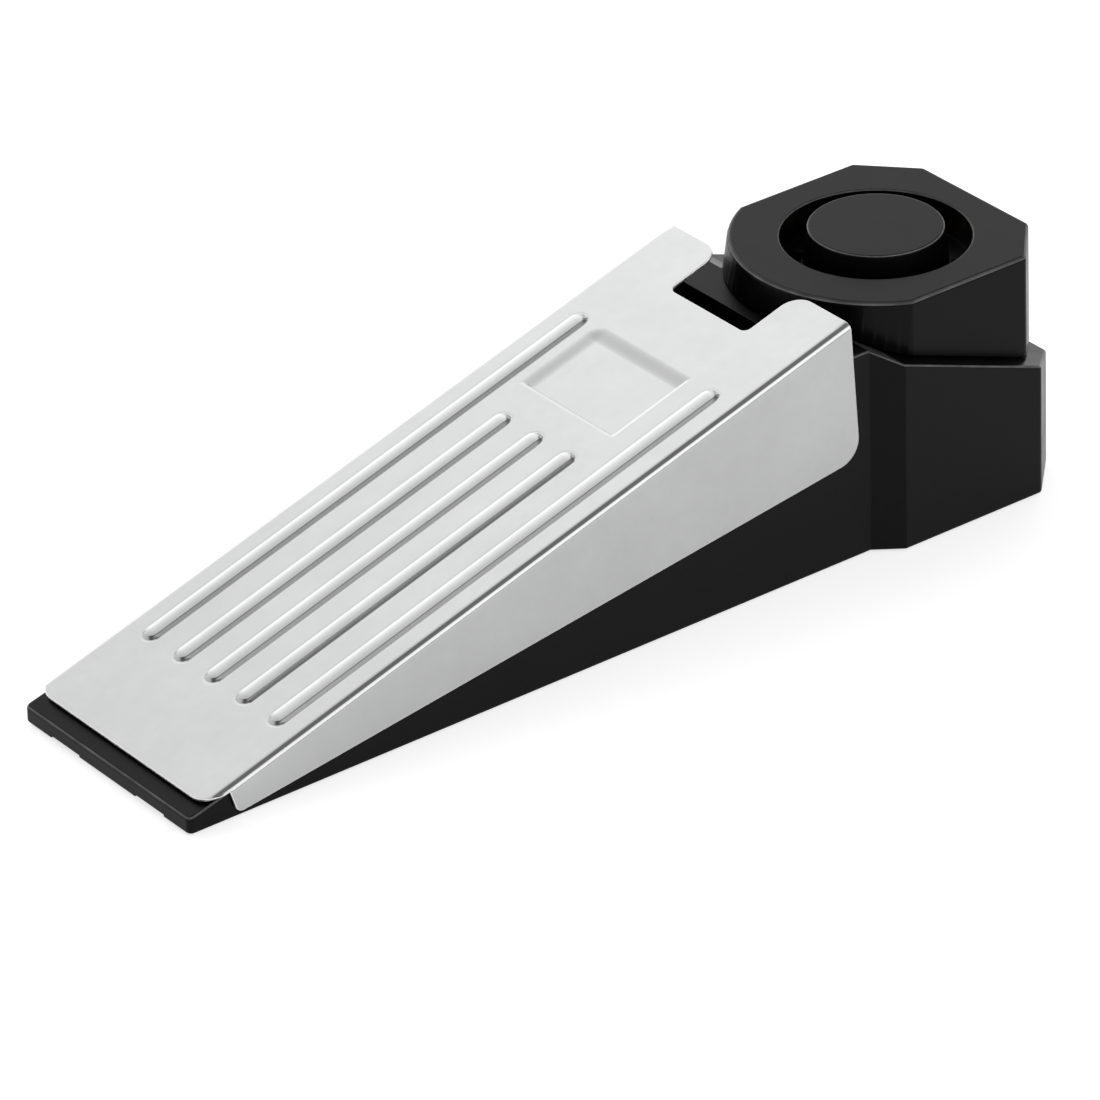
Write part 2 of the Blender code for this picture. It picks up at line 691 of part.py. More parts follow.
def cut_nose(base):
    """The hinge bore, the slots for the plate's three lugs, and the two shallow channels under the lip."""
    half_width = WEDGE_WIDTH * HALF + OVERRUN
    axis = [(HINGE_X, side * half_width, HINGE_HEIGHT) for side in (-1, 1)]
    cut(base, rod("hinge_bore", *axis, HINGE_PIN_RADIUS + GAP, SMALL_ROUND_SIDES))
    reach = HINGE_LUG_RADIUS + GAP
    slot_half = PLATE_SHEET * HALF + GAP
    for index, y in enumerate(hinge_places()):
        x_range = (HINGE_X - reach, HINGE_X + reach)
        z_range = (HINGE_HEIGHT - reach, DECK_HEIGHT)
        cut(base, block(f"lug_slot_{index}", x_range, (y - slot_half, y + slot_half), z_range))
    for side in (-1, 1):
        inner = side * NOSE_NOTCH_INNER
        outer = side * (NOSE_NOTCH_INNER + NOSE_NOTCH_WIDTH)
        y_range = (min(inner, outer), max(inner, outer))
        x_range = (-OVERRUN, NOSE_NOTCH_LENGTH)
        cut(base, block(f"nose_channel_{side + 1}", x_range, y_range, (-OVERRUN, NOSE_NOTCH_DEPTH)))


def cut_siren_opening(base):
    """The opening under the siren head, round the sounder's cup, and the slots for the head's hooks."""
    centre = (SIREN_X, 0)
    radius = CUP_RADIUS + GAP
    bottom = CUP_BOTTOM - GAP
    cut(base, rod("cup_clearance", (*centre, bottom), (*centre, HEAD_HEIGHT), radius))
    half_width = HEAD_WIDTH * HALF - HEAD_WALL - GAP - BASE_SKIN
    x_range = (FLARE_END, HEAD_SCREW_X - BOSS_RADIUS - GAP)
    z_range = (BOARD_TOP + BASE_SKIN, HEAD_HEIGHT)
    cut(base, block("siren_opening", x_range, (-half_width, half_width), z_range))
    for side in (-1, 1):
        x_range = (hook_front() - GAP, hook_front() + HOOK_THICKNESS + GAP)
        y = side * HOOK_OFFSET
        half = HOOK_WIDTH * HALF + GAP
        z_range = (WELL_FLOOR, HEAD_HEIGHT)
        cut(base, block(f"hook_slot_{side + 1}", x_range, (y - half, y + half), z_range))


def cut_rear_switch(base):
    """The slot for the power switch's knob, and the shallow finger recess round it."""
    half_slot = KNOB_TRAVEL * HALF + KNOB_WIDTH * HALF + GAP
    half_height = KNOB_HEIGHT * HALF + GAP
    x_range = (REAR_WALL_INSIDE - OVERRUN, LENGTH + OVERRUN)
    z_range = (SWITCH_MIDDLE - half_height, SWITCH_MIDDLE + half_height)
    cut(base, block("knob_slot", x_range, (-half_slot, half_slot), z_range))
    half_recess = half_slot + FINGER_RECESS_MARGIN
    half_height += FINGER_RECESS_MARGIN
    x_range = (LENGTH - FINGER_RECESS_DEPTH, LENGTH + OVERRUN)
    z_range = (SWITCH_MIDDLE - half_height, SWITCH_MIDDLE + half_height)
    cut(base, block("finger_recess", x_range, (-half_recess, half_recess), z_range))


def add_spring_posts(base):
    for side in (-1, 1):
        foot = (SPRING_X, side * SPRING_OFFSET, WELL_FLOOR - BASE_SKIN * HALF)
        top = (SPRING_X, side * SPRING_OFFSET, WELL_FLOOR + SPRING_POST_HEIGHT)
        radius = SPRING_RADIUS - SPRING_WIRE_RADIUS - GAP * 2
        add(base, rod(f"spring_post_{side + 1}", foot, top, radius, SMALL_ROUND_SIDES))


def make_cover():
    """The flat cover under the base, with the lid opening, pad recesses, screw holes and board posts."""
    plan = base_plan(COVER_RIM + GAP)
    cover = upright("bottom_cover", plan, 0, COVER_THICKNESS)
    cut(cover, front_block("cover_front", COVER_START + GAP))
    for index, (x, y) in enumerate(cover_screw_places()):
        seat = SCREW_SHY + SCREW_HEAD_HEIGHT + GAP
        head = SCREW_HEAD_RADIUS + GAP
        cut(cover, post(f"head_recess_{index}", x, y, -OVERRUN, seat, head))
        cut(cover, post(f"cover_hole_{index}", x, y, -OVERRUN, DECK_HEIGHT))
    for name, x_range, y_range in pad_places():
        recess_x = (x_range[0] - GAP, x_range[1] + GAP)
        recess_y = (y_range[0] - GAP, y_range[1] + GAP)
        depth = PAD_THICKNESS - PAD_PROUD + GAP
        cut(cover, block(f"{name}_recess", recess_x, recess_y, (-OVERRUN, depth)))
    half = LID_HALF_WIDTH + GAP
    x_range = (LID_FRONT - GAP, LID_REAR + GAP)
    cut(cover, block("lid_opening", x_range, (-half, half), (-OVERRUN, lid_step() + GAP)))
    half = half - LID_LIP
    x_range = (LID_FRONT - GAP + LID_LIP, LID_REAR + GAP - LID_LIP)
    cut(cover, block("battery_opening", x_range, (-half, half), (-OVERRUN, DECK_HEIGHT)))
    for index, (x, y) in enumerate(post_places()):
        foot = (x, y, COVER_THICKNESS - PAD_THICKNESS * HALF)
        top = (x, y, BOARD_HEIGHT - GAP)
        add(cover, rod(f"board_post_{index}", foot, top, POST_RADIUS, SMALL_ROUND_SIDES))
        bottom = BOARD_TOP + GAP - BOARD_SCREW_LENGTH - GAP
        cut(cover, post(f"post_pilot_{index}", x, y, bottom, BOARD_TOP))
    dial = rod("dial_hole", (DIAL_X, 0, -OVERRUN), (DIAL_X, 0, BOARD_HEIGHT), DIAL_RADIUS + GAP)
    cut(cover, dial)
    piece(cover, "black_plastic")


def lid_step():
    return COVER_THICKNESS * HALF


def make_lid():
    """The battery lid. It swings down about its front lower edge."""
    half = LID_HALF_WIDTH
    lid = block("battery_lid", (LID_FRONT, LID_REAR), (-half, half), (0, lid_step() - GAP * HALF))
    half = half - LID_LIP
    x_range = (LID_FRONT + LID_LIP, LID_REAR - LID_LIP)
    z_range = (lid_step() - GAP, COVER_THICKNESS - GAP * HALF)
    add(lid, block("lid_plug", x_range, (-half, half), z_range))
    notch = LID_NOTCH_WIDTH * HALF
    x_range = (LID_REAR - LID_NOTCH_DEPTH, LID_REAR + OVERRUN)
    cut(lid, block("lid_notch", x_range, (-notch, notch), (-OVERRUN, lid_step() * HALF)))
    set_origin(lid, (LID_FRONT, 0, 0))
    piece(lid, "black_plastic")


def pad_places():
    """Name, x range and y range of each rubber pad."""
    rear_start = BOARD_FRONT + POST_INSET
    outer = HOUSING_WIDTH * HALF - REAR_PAD_INSET
    inner = outer - REAR_PAD_WIDTH
    rear_x = (rear_start, rear_start + REAR_PAD_LENGTH)
    across = (-PAD_HALF_WIDTH, PAD_HALF_WIDTH)
    return [
        ("front_pad", (FRONT_PAD_START, FRONT_PAD_END), across),
        ("middle_pad", MIDDLE_PAD_RANGE, across),
        ("rear_pad_near", rear_x, (-outer, -inner)),
        ("rear_pad_far", rear_x, (inner, outer)),
    ]


def make_pads():
    for name, x_range, y_range in pad_places():
        pad = block(name, x_range, y_range, (-PAD_PROUD, PAD_THICKNESS - PAD_PROUD))
        piece(pad, "black_rubber")


def sloped(thing):
    """Turns a shape drawn on the flat sheet up to the plate's slope."""
    lift = Matrix.Translation((0, 0, PLATE_HEIGHT_AT_NOSE))
    thing.data.transform(lift @ Matrix.Rotation(-PLATE_ANGLE, 4, "Y"))
    return thing


def quarter(centre, radius, start, steps=CORNER_STEPS):
    """Points of a quarter turn, anticlockwise from a start angle in degrees."""
    points = []
    for step in range(steps + 1):
        angle = math.radians(start) + math.pi * HALF * step / steps
        points.append((centre[0] + radius * math.cos(angle), centre[1] + radius * math.sin(angle)))
    return points


def plate_section():
    """The plate's bent section in y and depth: a top sheet with a flange down each side."""
    half = PLATE_WIDTH * HALF
    bend = PLATE_BEND_RADIUS
    depth = -FLANGE_REAR_DEPTH - OVERRUN
    inside = bend - PLATE_SHEET
    outline = [(half, depth)]
    outline += quarter((half - bend, -bend), bend, 0)
    outline += quarter((bend - half, -bend), bend, 90)
    outline += [(-half, depth), (PLATE_SHEET - half, depth)]
    outline += reversed(quarter((bend - half, -bend), inside, 90))
    outline += reversed(quarter((half - bend, -bend), inside, 0))
    outline += [(half - PLATE_SHEET, depth)]
    return outline


def plate_side():
    """Side outline of the plate: the sheet's front end, and the flange that deepens to the rear."""
    lip = -PLATE_SHEET - GAP * HALF
    rear_bottom = PLATE_REAR - FLANGE_REAR_LEAN
    return rounded([
        (PLATE_FRONT, OVERRUN, 0),
        (PLATE_FRONT, lip, 0),
        (FLANGE_START, lip, 0),
        (FLANGE_START, -FLANGE_FRONT_DEPTH, FLANGE_FRONT_RADIUS),
        (rear_bottom, -FLANGE_REAR_DEPTH, FLANGE_REAR_RADIUS),
        (PLATE_REAR, -PLATE_SHEET * HALF, 0),
        (PLATE_REAR, OVERRUN, 0),
    ])


def rib(name, start, end, y):
    """A raised rib with round ends and a domed top, standing on the sheet."""
    radius = RIB_WIDTH * HALF
    first = start + radius
    last = end - radius
    levels = [(-PLATE_SHEET * HALF, radius)]
    for share in RIB_LEVEL_SHARES:
        levels.append((RIB_HEIGHT * share, radius * math.sqrt(1 - share * share)))
    rings = []
    for height, reach in levels:
        ring = []
        for centre, turn in ((last, -math.pi * HALF), (first, math.pi * HALF)):
            for step in range(CORNER_STEPS * 2 + 1):
                angle = turn + math.pi * step / (CORNER_STEPS * 2)
                ring.append((centre + reach * math.cos(angle), y + reach * math.sin(angle), height))
        rings.append(ring)
    return sloped(loft(name, rings))


def rib_table():
    """Name, rear end and place across the plate of each rib."""
    return [
        ("rib_far", LONG_RIB_END, OUTER_RIB_OFFSET),
        ("rib_inner_far", SHORT_RIB_END, INNER_RIB_PITCH),
        ("rib_middle", SHORT_RIB_END, 0),
        ("rib_inner_near", SHORT_RIB_END, -INNER_RIB_PITCH),
        ("rib_near", LONG_RIB_END, -OUTER_RIB_OFFSET),
    ]


def rectangle_ring(x_range, half_width, height):
    x_low, x_high = x_range
    corners = [(x_low, -half_width), (x_high, -half_width), (x_high, half_width), (x_low, half_width)]
    return [(x, y, height) for x, y in corners]


def make_plate():
    """The stainless plate: bent flanges, five ribs, a pressed panel, a rear notch and three hinge lugs."""
    start = PLATE_FRONT - OVERRUN
    end = PLATE_REAR + OVERRUN
    rings = [[(x, y, z) for y, z in plate_section()] for x in (start, end)]
    plate = sloped(loft("pressure_plate", rings))
    keep(plate, sloped(crosswise("plate_side", plate_side(), -PLATE_WIDTH, PLATE_WIDTH)))
    cut_front_corners(plate)
    cut_notch(plate)
    for name, rib_end, y in rib_table():
        add(plate, rib(name, RIB_START, rib_end, y))
    press_panel(plate)
    add_lugs(plate)
    set_origin(plate, (HINGE_X, 0, HINGE_HEIGHT))
    piece(plate, "satin_steel", smooth=True)


def cut_front_corners(plate):
    half = PLATE_WIDTH * HALF
    radius = PLATE_CORNER_RADIUS
    for side in (-1, 1):
        centre = (PLATE_FRONT + radius, half - radius)
        outline = [(PLATE_FRONT - OVERRUN, half - radius)]
        outline += reversed(quarter(centre, radius, 90, CORNER_STEPS * 2))
        outline += [(PLATE_FRONT + radius, half + OVERRUN), (PLATE_FRONT - OVERRUN, half + OVERRUN)]
        outline = [(x, side * y) for x, y in outline]
        cut(plate, sloped(upright(f"front_corner_{side + 1}", outline, -OVERRUN, OVERRUN)))


def cut_notch(plate):
    """The notch in the rear edge, with rounded corners and with rounded ears beside it."""
    half = NOTCH_WIDTH * HALF
    radius = EAR_CORNER_RADIUS
    corner = NOTCH_CORNER_RADIUS
    bottom = PLATE_REAR - NOTCH_DEPTH
    rear = PLATE_REAR + OVERRUN
    far = list(reversed(quarter((bottom + corner, half - corner), corner, 90)))
    far += quarter((PLATE_REAR - radius, half + radius), radius, 270)
    far += [(rear, half + radius)]
    near = [(x, -y) for x, y in reversed(far)]
    cut(plate, sloped(upright("rear_notch", near + far, -OVERRUN * 2, OVERRUN)))


def press_panel(plate):
    """The shallow rectangular panel pressed into the sheet, with sloping walls."""
    run = PANEL_WALL_RUN
    floor_range = (PANEL_START, PANEL_START + PANEL_LENGTH)
    x_range = (PANEL_START - run, PANEL_START + PANEL_LENGTH + run)
    half = PANEL_WIDTH * HALF + run
    sheet = PLATE_SHEET
    under = [
        rectangle_ring(x_range, half, -sheet * HALF),
        rectangle_ring(x_range, half, -sheet - GAP * HALF),
        rectangle_ring(floor_range, half - run, -sheet - PANEL_DEPTH),
    ]
    add(plate, sloped(loft("panel_underside", under)))
    slope = run / PANEL_DEPTH
    wide_range = (x_range[0] - OVERRUN * slope, x_range[1] + OVERRUN * slope)
    inside = [
        rectangle_ring(wide_range, half + OVERRUN * slope, OVERRUN),
        rectangle_ring(floor_range, half - run, -PANEL_DEPTH),
    ]
    cut(plate, sloped(loft("panel_pressing", inside)))


def add_lugs(plate):
    """Three lugs under the front of the plate that turn on the hinge pin."""
    radius = HINGE_LUG_RADIUS
    depth = PLATE_SHEET * HALF
    for index, y in enumerate(hinge_places()):
        outline = []
        for step in range(CORNER_STEPS * 2 + 1):
            angle = math.pi + math.pi * step / (CORNER_STEPS * 2)
            outline.append((HINGE_X + radius * math.cos(angle), HINGE_HEIGHT + radius * math.sin(angle)))
        for x in (HINGE_X + radius, HINGE_X - radius):
            outline.append((x, plate_underside(x) + depth))
        add(plate, crosswise(f"hinge_lug_{index}", outline, y - depth, y + depth))
        ends = [(HINGE_X, y + side * PLATE_SHEET, HINGE_HEIGHT) for side in (-1, 1)]
        cut(plate, rod(f"lug_bore_{index}", *ends, HINGE_PIN_RADIUS + GAP, SMALL_ROUND_SIDES))


def make_hinge_pin():
    half = WEDGE_WIDTH * HALF - HINGE_PIN_INSET
    ends = [(HINGE_X, side * half, HINGE_HEIGHT) for side in (-1, 1)]
    pin = rod("hinge_pin", *ends, HINGE_PIN_RADIUS, SMALL_ROUND_SIDES)
    piece(pin, "bright_steel", smooth=True)


def head_front_arc(height):
    """Centre, radius and half sweep of the head's round front, which leans out towards the deck."""
    half = HEAD_WIDTH * HALF
    lean = HEAD_FRONT_LEAN * (HEAD_HEIGHT - height) / (HEAD_HEIGHT - DECK_HEIGHT)
    depth = HEAD_FRONT_RADIUS - math.sqrt(HEAD_FRONT_RADIUS ** 2 - half ** 2) + lean
    radius = (depth ** 2 + half ** 2) * HALF / depth
    return HEAD_FRONT - lean + radius, radius, math.atan2(half, radius - depth)


def head_corners(height=HEAD_HEIGHT):
    """Plan of the siren head at a height: a round front, flat sides and cut rear corners."""
    half = HEAD_WIDTH * HALF
    centre, arc_radius, swing = head_front_arc(height)
    chamfer_start = HEAD_REAR - HEAD_CHAMFER_LENGTH
    chamfer_end = half - HEAD_CHAMFER_DEPTH
    near = [
        (chamfer_start, -half, BASE_CORNER_RADIUS),
        (HEAD_REAR, -chamfer_end, BASE_CORNER_RADIUS),
    ]
    far = [(x, -y, radius) for x, y, radius in reversed(near)]
    front = []
    for step in range(ARC_STEPS + 1):
        angle = math.pi - swing + swing * 2 * step / ARC_STEPS
        front.append((centre + arc_radius * math.cos(angle), arc_radius * math.sin(angle), 0))
    return near + far + front


def below_head(name):
    """A cutter for all that lies below the head's underside, which follows the deck and the ledge."""
    front = WELL_START
    rear = LENGTH + OVERRUN
    outline = [
        (front, 0),
        (rear, 0),
        (rear, ledge_top(rear) + GAP),
        (FLARE_END, LEDGE_FRONT_HEIGHT + GAP),
        (HOUSING_START, DECK_HEIGHT + GAP),
        (front, DECK_HEIGHT + GAP),
    ]
    return crosswise(name, outline, -HOUSING_WIDTH, HOUSING_WIDTH)


def hook_front():
    """Front face of the head's hooks, inside the thickness of its front wall."""
    centre, arc_radius, _ = head_front_arc(DECK_HEIGHT)
    far_side = HOOK_OFFSET + HOOK_WIDTH * HALF
    return centre - math.sqrt(arc_radius ** 2 - far_side ** 2) + GAP * 2


def make_head():
    """The siren head, a shell that stands on the deck and the sloping ledge."""
    outline = rounded(head_corners())
    bottom = LEDGE_REAR_HEIGHT - OVERRUN
    foot = inset(rounded(head_corners(bottom)), -HEAD_DRAFT)
    rings = [[(x, y, bottom) for x, y in foot], [(x, y, HEAD_HEIGHT) for x, y in outline]]
    head = loft("siren_head", rings)
    round_edges(head, HEAD_EDGE_RADIUS, EDGE_STEPS, 60)
    hollow_plan = inset([(x, y) for x, y, _ in head_corners()], HEAD_WALL)
    cut(head, upright("head_hollow", hollow_plan, 0, HEAD_HEIGHT - HEAD_SKIN))
    top = HEAD_HEIGHT - HEAD_SKIN * HALF
    for index, (x, y) in enumerate(head_screw_places()):
        add(head, post(f"head_boss_{index}", x, y, bottom, top, BOSS_RADIUS - GAP))
    cut(head, below_head("head_underside"))
    cup_ends = [(SIREN_X, 0, CUP_BOTTOM), (SIREN_X, 0, top)]
    add(head, rod("siren_cup", *cup_ends, CUP_RADIUS))
    for index, (x, y) in enumerate(head_screw_places()):
        top_of_hole = head_screw_seat() + HEAD_SCREW_LENGTH + PILOT_EXTRA
        cut(head, post(f"head_pilot_{index}", x, y, 0, top_of_hole))
    cut_groove(head)
    add_hooks(head)
    piece(head, "black_plastic", smooth=True)


def cut_groove(head):
    """The ring-shaped mouth of the siren, its slotted floor, and the sounder's seat under it."""
    x = SIREN_X
    top = HEAD_HEIGHT + OVERRUN
    profile = [(0, SIREN_FLOOR_TOP), (GROOVE_RADIUS, SIREN_FLOOR_TOP)]
    for step in range(CORNER_STEPS + 1):
        angle = math.pi * HALF * step / CORNER_STEPS
        radius = GROOVE_RADIUS + GROOVE_LEAD_IN * (1 - math.cos(angle))
        profile.append((radius, HEAD_HEIGHT - GROOVE_LEAD_IN * (1 - math.sin(angle))))
    profile += [(GROOVE_RADIUS + GROOVE_LEAD_IN, top), (0, top)]
    cut(head, turned("siren_mouth", profile, (x, 0), FINE_ROUND_SIDES))
    seat = SIREN_FLOOR_UNDERSIDE
    cut(head, rod("sounder_seat", (x, 0, 0), (x, 0, seat), HOLDER_RADIUS + GAP))
    stem = CAP_STEM_RADIUS + GAP
    cut(head, rod("stem_hole", (x, 0, seat - OVERRUN), (x, 0, HEAD_HEIGHT), stem))
    middle = (CAP_FOOT_RADIUS + GROOVE_RADIUS) * HALF
    low = middle - SOUND_SLOT_WIDTH * HALF
    high = middle + SOUND_SLOT_WIDTH * HALF
    steps = CORNER_STEPS * 2
    for index in range(3):
        begin = math.tau * index / 3
        turns = [begin + SOUND_SLOT_SWEEP * step / steps for step in range(steps + 1)]
        outer = [(x + high * math.cos(turn), high * math.sin(turn)) for turn in turns]
        inner = [(x + low * math.cos(turn), low * math.sin(turn)) for turn in reversed(turns)]
        cut(head, upright(f"sound_slot_{index}", outer + inner, seat - OVERRUN, HEAD_HEIGHT))


def add_hooks(head):
    """Two hooks under the head's front wall that reach through the deck."""
    front = hook_front()
    rear = front + HOOK_THICKNESS
    underside = DECK_HEIGHT - BASE_SKIN - GAP
    for side in (-1, 1):
        middle = side * HOOK_OFFSET
        y_range = (middle - HOOK_WIDTH * HALF, middle + HOOK_WIDTH * HALF)
        bottom = underside - HOOK_THICKNESS
        outline = [
            (front - HOOK_TOE, bottom),
            (rear, bottom),
            (rear, DECK_HEIGHT + BASE_SKIN),
            (front, DECK_HEIGHT + BASE_SKIN),
            (front, underside),
            (front - HOOK_TOE, underside),
        ]
        add(head, crosswise(f"head_hook_{side + 1}", outline, *y_range))


def make_cap():
    """The round cap in the middle of the siren. Its stem snaps through the slotted floor."""
    top = HEAD_HEIGHT + CAP_PROUD
    foot = SIREN_FLOOR_TOP + GAP
    edge = CAP_EDGE_RADIUS
    profile = [(0, SIREN_FLOOR_UNDERSIDE), (CAP_STEM_RADIUS, SIREN_FLOOR_UNDERSIDE)]
    profile += [(CAP_STEM_RADIUS, foot), (CAP_FOOT_RADIUS, foot)]
    profile += quarter((CAP_RADIUS - edge, top - edge), edge, 0, 3)
    profile += [(0, top)]
    cap = turned("siren_cap", profile, (SIREN_X, 0), FINE_ROUND_SIDES)
    piece(cap, "black_plastic", smooth=True)


def make_sounder():
    """The ring that holds the sounder, the brass disc on its step, and the ceramic under the disc."""
    centre = (SIREN_X, 0)
    radius = HOLDER_RADIUS
    inner = radius - HOLDER_WALL
    bore = inner - HOLDER_STEP
    bottom = CUP_BOTTOM
    step = bottom + HOLDER_STEP_HEIGHT
    top = SIREN_FLOOR_UNDERSIDE - GAP
    profile = [(radius, bottom), (radius, top), (inner, top), (inner, step), (bore, step), (bore, bottom)]
    piece(turned("sounder_ring", profile, centre), "white_plastic", smooth=True)
    low = step + GAP
    disc = rod("sounder_disc", (*centre, low), (*centre, low + DISC_THICKNESS), inner - GAP)
    piece(disc, "brass", smooth=True)
    high = low - GAP
    ceramic = rod("sounder_ceramic", (*centre, high - CERAMIC_THICKNESS), (*centre, high), CERAMIC_RADIUS)
    piece(ceramic, "ceramic", smooth=True)


def trigger_foot():
    return WELL_FLOOR + GAP


def make_trigger():
    """The trigger switch's body in the well, and the plunger that the plate pushes."""
    half_length = TRIGGER_BODY_LENGTH * HALF
    half_width = TRIGGER_BODY_WIDTH * HALF
    x_range = (TRIGGER_X - half_length, TRIGGER_X + half_length)
    foot = trigger_foot()
    top = foot + TRIGGER_BODY_HEIGHT
    body = block("trigger_switch", x_range, (-half_width, half_width), (foot, top))
    bore_floor = foot + PLUNGER_BORE_FLOOR
    ends = [(TRIGGER_X, 0, bore_floor), (TRIGGER_X, 0, top + OVERRUN)]
    cut(body, rod("plunger_bore", *ends, PLUNGER_RADIUS + GAP, SMALL_ROUND_SIDES))
    piece(body, "grey_plastic")
    tip = plate_underside(TRIGGER_X) - GAP * 2
    bottom = bore_floor + GAP + PLUNGER_TRAVEL
    profile = [(0, bottom), (PLUNGER_RADIUS, bottom)]
    for step in range(CORNER_STEPS):
        angle = math.pi * HALF * step / CORNER_STEPS
        profile.append((PLUNGER_RADIUS * math.cos(angle), tip - PLUNGER_DOME * (1 - math.sin(angle))))
    profile += [(0, tip)]
    plunger = turned("trigger_plunger", profile, (TRIGGER_X, 0), SMALL_ROUND_SIDES)
    set_origin(plunger, (TRIGGER_X, 0, bottom))
    piece(plunger, "white_plastic", smooth=True)


def wire(name, points, radius, finish_name, fineness):
    """A round wire through a row of points, with closed ends."""
    data = bpy.data.curves.new(name, "CURVE")
    data.dimensions = "3D"
    data.bevel_depth = radius
    data.bevel_resolution = fineness
    data.use_fill_caps = True
    line = data.splines.new("POLY")
    line.points.add(len(points) - 1)
    for place, point in zip(line.points, points):
        place.co = (*point, 1)
    thing = bpy.data.objects.new(name, data)
    bpy.context.scene.collection.objects.link(thing)
    thing.parent = bpy.data.objects["wedge_frame"]
    data.materials.append(finish(finish_name))
    return thing


def make_springs():
    """Two coil springs between the floor of the well and the plate."""
    foot = WELL_FLOOR + GAP + SPRING_WIRE_RADIUS
    top = plate_underside(SPRING_X - SPRING_RADIUS) - GAP - SPRING_WIRE_RADIUS
    count = SPRING_TURNS * SPRING_TURN_STEPS
    for name, side in (("return_spring_near", -1), ("return_spring_far", 1)):
        points = []
        for index in range(count + 1):
            angle = math.tau * index / SPRING_TURN_STEPS
            x = SPRING_X + SPRING_RADIUS * math.cos(angle)
            y = side * SPRING_OFFSET + SPRING_RADIUS * math.sin(angle)
            points.append((x, y, foot + (top - foot) * index / count))
        wire(name, points, SPRING_WIRE_RADIUS, "spring_steel", 1)


def smooth_route(stops, steps=3):
    """Points of a smooth curve through the stops."""
    ends = [stops[0]] + list(stops) + [stops[-1]]
    places = [Vector(stop) for stop in ends]
    points = []
    for index in range(1, len(places) - 2):
        before, here, after, beyond = places[index - 1:index + 3]
        for step in range(steps):
            t = step / steps
            first = here * 2
            second = (after - before) * t
            third = (before * 2 - here * 5 + after * 4 - beyond) * t ** 2
            fourth = (here * 3 - before - after * 3 + beyond) * t ** 3
            points.append((first + second + third + fourth) * HALF)
    points.append(places[-1])
    return points


def make_leads():
    """Six short leads: two to the battery clip, two to the trigger switch and two to the sounder."""
    end_height = PART_FOOT + LEAD_RADIUS
    landing = BOARD_FRONT + LEAD_RADIUS * 2
    clip_rear = BATTERY_REAR + GAP + CLIP_LENGTH + GAP
    exit_height = trigger_foot() + TRIGGER_BODY_HEIGHT * HALF - LEAD_WINDOW_HEIGHT * HALF
    trigger_rear = TRIGGER_X + TRIGGER_BODY_LENGTH * HALF + GAP
    behind_wall = DECK_START + BASE_SKIN
    mid_height = (exit_height + end_height) * HALF + LEAD_SPREAD
    sounder_height = CUP_BOTTOM + HOLDER_STEP_HEIGHT - CERAMIC_THICKNESS - GAP
    sounder_x = SIREN_X + PIEZO_LEAD_SPREAD
    board_x = BOARD_REAR - SWITCH_LENGTH - LEAD_SPREAD
    for name, side, colour in (("near", -1, "red_lead"), ("far", 1, "black_lead")):
        y = side * BATTERY_LEAD_SPREAD
        stops = [
            (clip_rear, y, BATTERY_MIDDLE),
            (clip_rear + LEAD_SPREAD * HALF, y, BATTERY_MIDDLE),
            (landing, y, (BATTERY_MIDDLE + end_height) * HALF),
            (landing, y, end_height - LEAD_RADIUS),
        ]
        wire(f"battery_lead_{name}", smooth_route(stops), LEAD_RADIUS, colour, 2)
        y = side * LEAD_SPREAD
        stops = [
            (trigger_rear, y, exit_height),
            (behind_wall, y, exit_height),
            ((behind_wall + landing) * HALF + LEAD_SPREAD, y, mid_height + LEAD_SPREAD * 2),
            (landing, y, (mid_height + end_height) * HALF),
            (landing, y, end_height - LEAD_RADIUS),
        ]
        wire(f"trigger_lead_{name}", smooth_route(stops), LEAD_RADIUS, colour, 2)
        stops = [
            (sounder_x, side * PIEZO_LEAD_SPREAD, sounder_height),
            (sounder_x, side * PIEZO_LEAD_SPREAD, sounder_height - LEAD_SPREAD * 2),
            (board_x, y, (sounder_height + end_height) * HALF),
            (board_x, y, end_height - LEAD_RADIUS),
        ]
        wire(f"sounder_lead_{name}", smooth_route(stops), LEAD_RADIUS, colour, 2)


def make_battery():
    """The block battery on its side, its two snap terminals, and the clip on them."""
    half = BATTERY_WIDTH * HALF
    bottom = BATTERY_BOTTOM
    radius = BATTERY_CORNER_RADIUS
    top = bottom + BATTERY_HEIGHT
    low = [(-half, bottom, radius), (half, bottom, radius)]
    high = [(half, top, radius), (-half, top, radius)]
    section = rounded(low + high)
    battery = loft("battery", [[(x, y, z) for y, z in section] for x in (BATTERY_FRONT, BATTERY_REAR)])
    piece(battery, "battery_jacket", smooth=True)
    start = BATTERY_REAR + GAP
    x_range = (start + GAP, start + CLIP_LENGTH)
    half = CLIP_WIDTH * HALF
    z_range = (BATTERY_MIDDLE - CLIP_HEIGHT * HALF, BATTERY_MIDDLE + CLIP_HEIGHT * HALF)
    clip = block("battery_clip", x_range, (-half, half), z_range)
    table = (("plus_terminal", -1, PLUS_TERMINAL_RADIUS), ("minus_terminal", 1, MINUS_TERMINAL_RADIUS))
    for name, side, radius in table:
        y = side * TERMINAL_SPACING * HALF
        end = start + TERMINAL_HEIGHT
        ends = [(start, y, BATTERY_MIDDLE), (end, y, BATTERY_MIDDLE)]
        terminal = rod(name, *ends, radius, SMALL_ROUND_SIDES)
        piece(terminal, "bright_steel", smooth=True)
        ends = [(start - OVERRUN, y, BATTERY_MIDDLE), (end + GAP, y, BATTERY_MIDDLE)]
        cut(clip, rod(f"{name}_socket", *ends, radius + GAP, SMALL_ROUND_SIDES))
    piece(clip, "chip_black")


def post_places():
    """The four posts under the circuit board. The first two carry screws."""
    front = BOARD_FRONT + POST_INSET
    rear = BOARD_REAR - POST_INSET
    side = BOARD_WIDTH * HALF - POST_INSET
    return [(front, side), (rear, -side), (front, -side), (rear, side)]


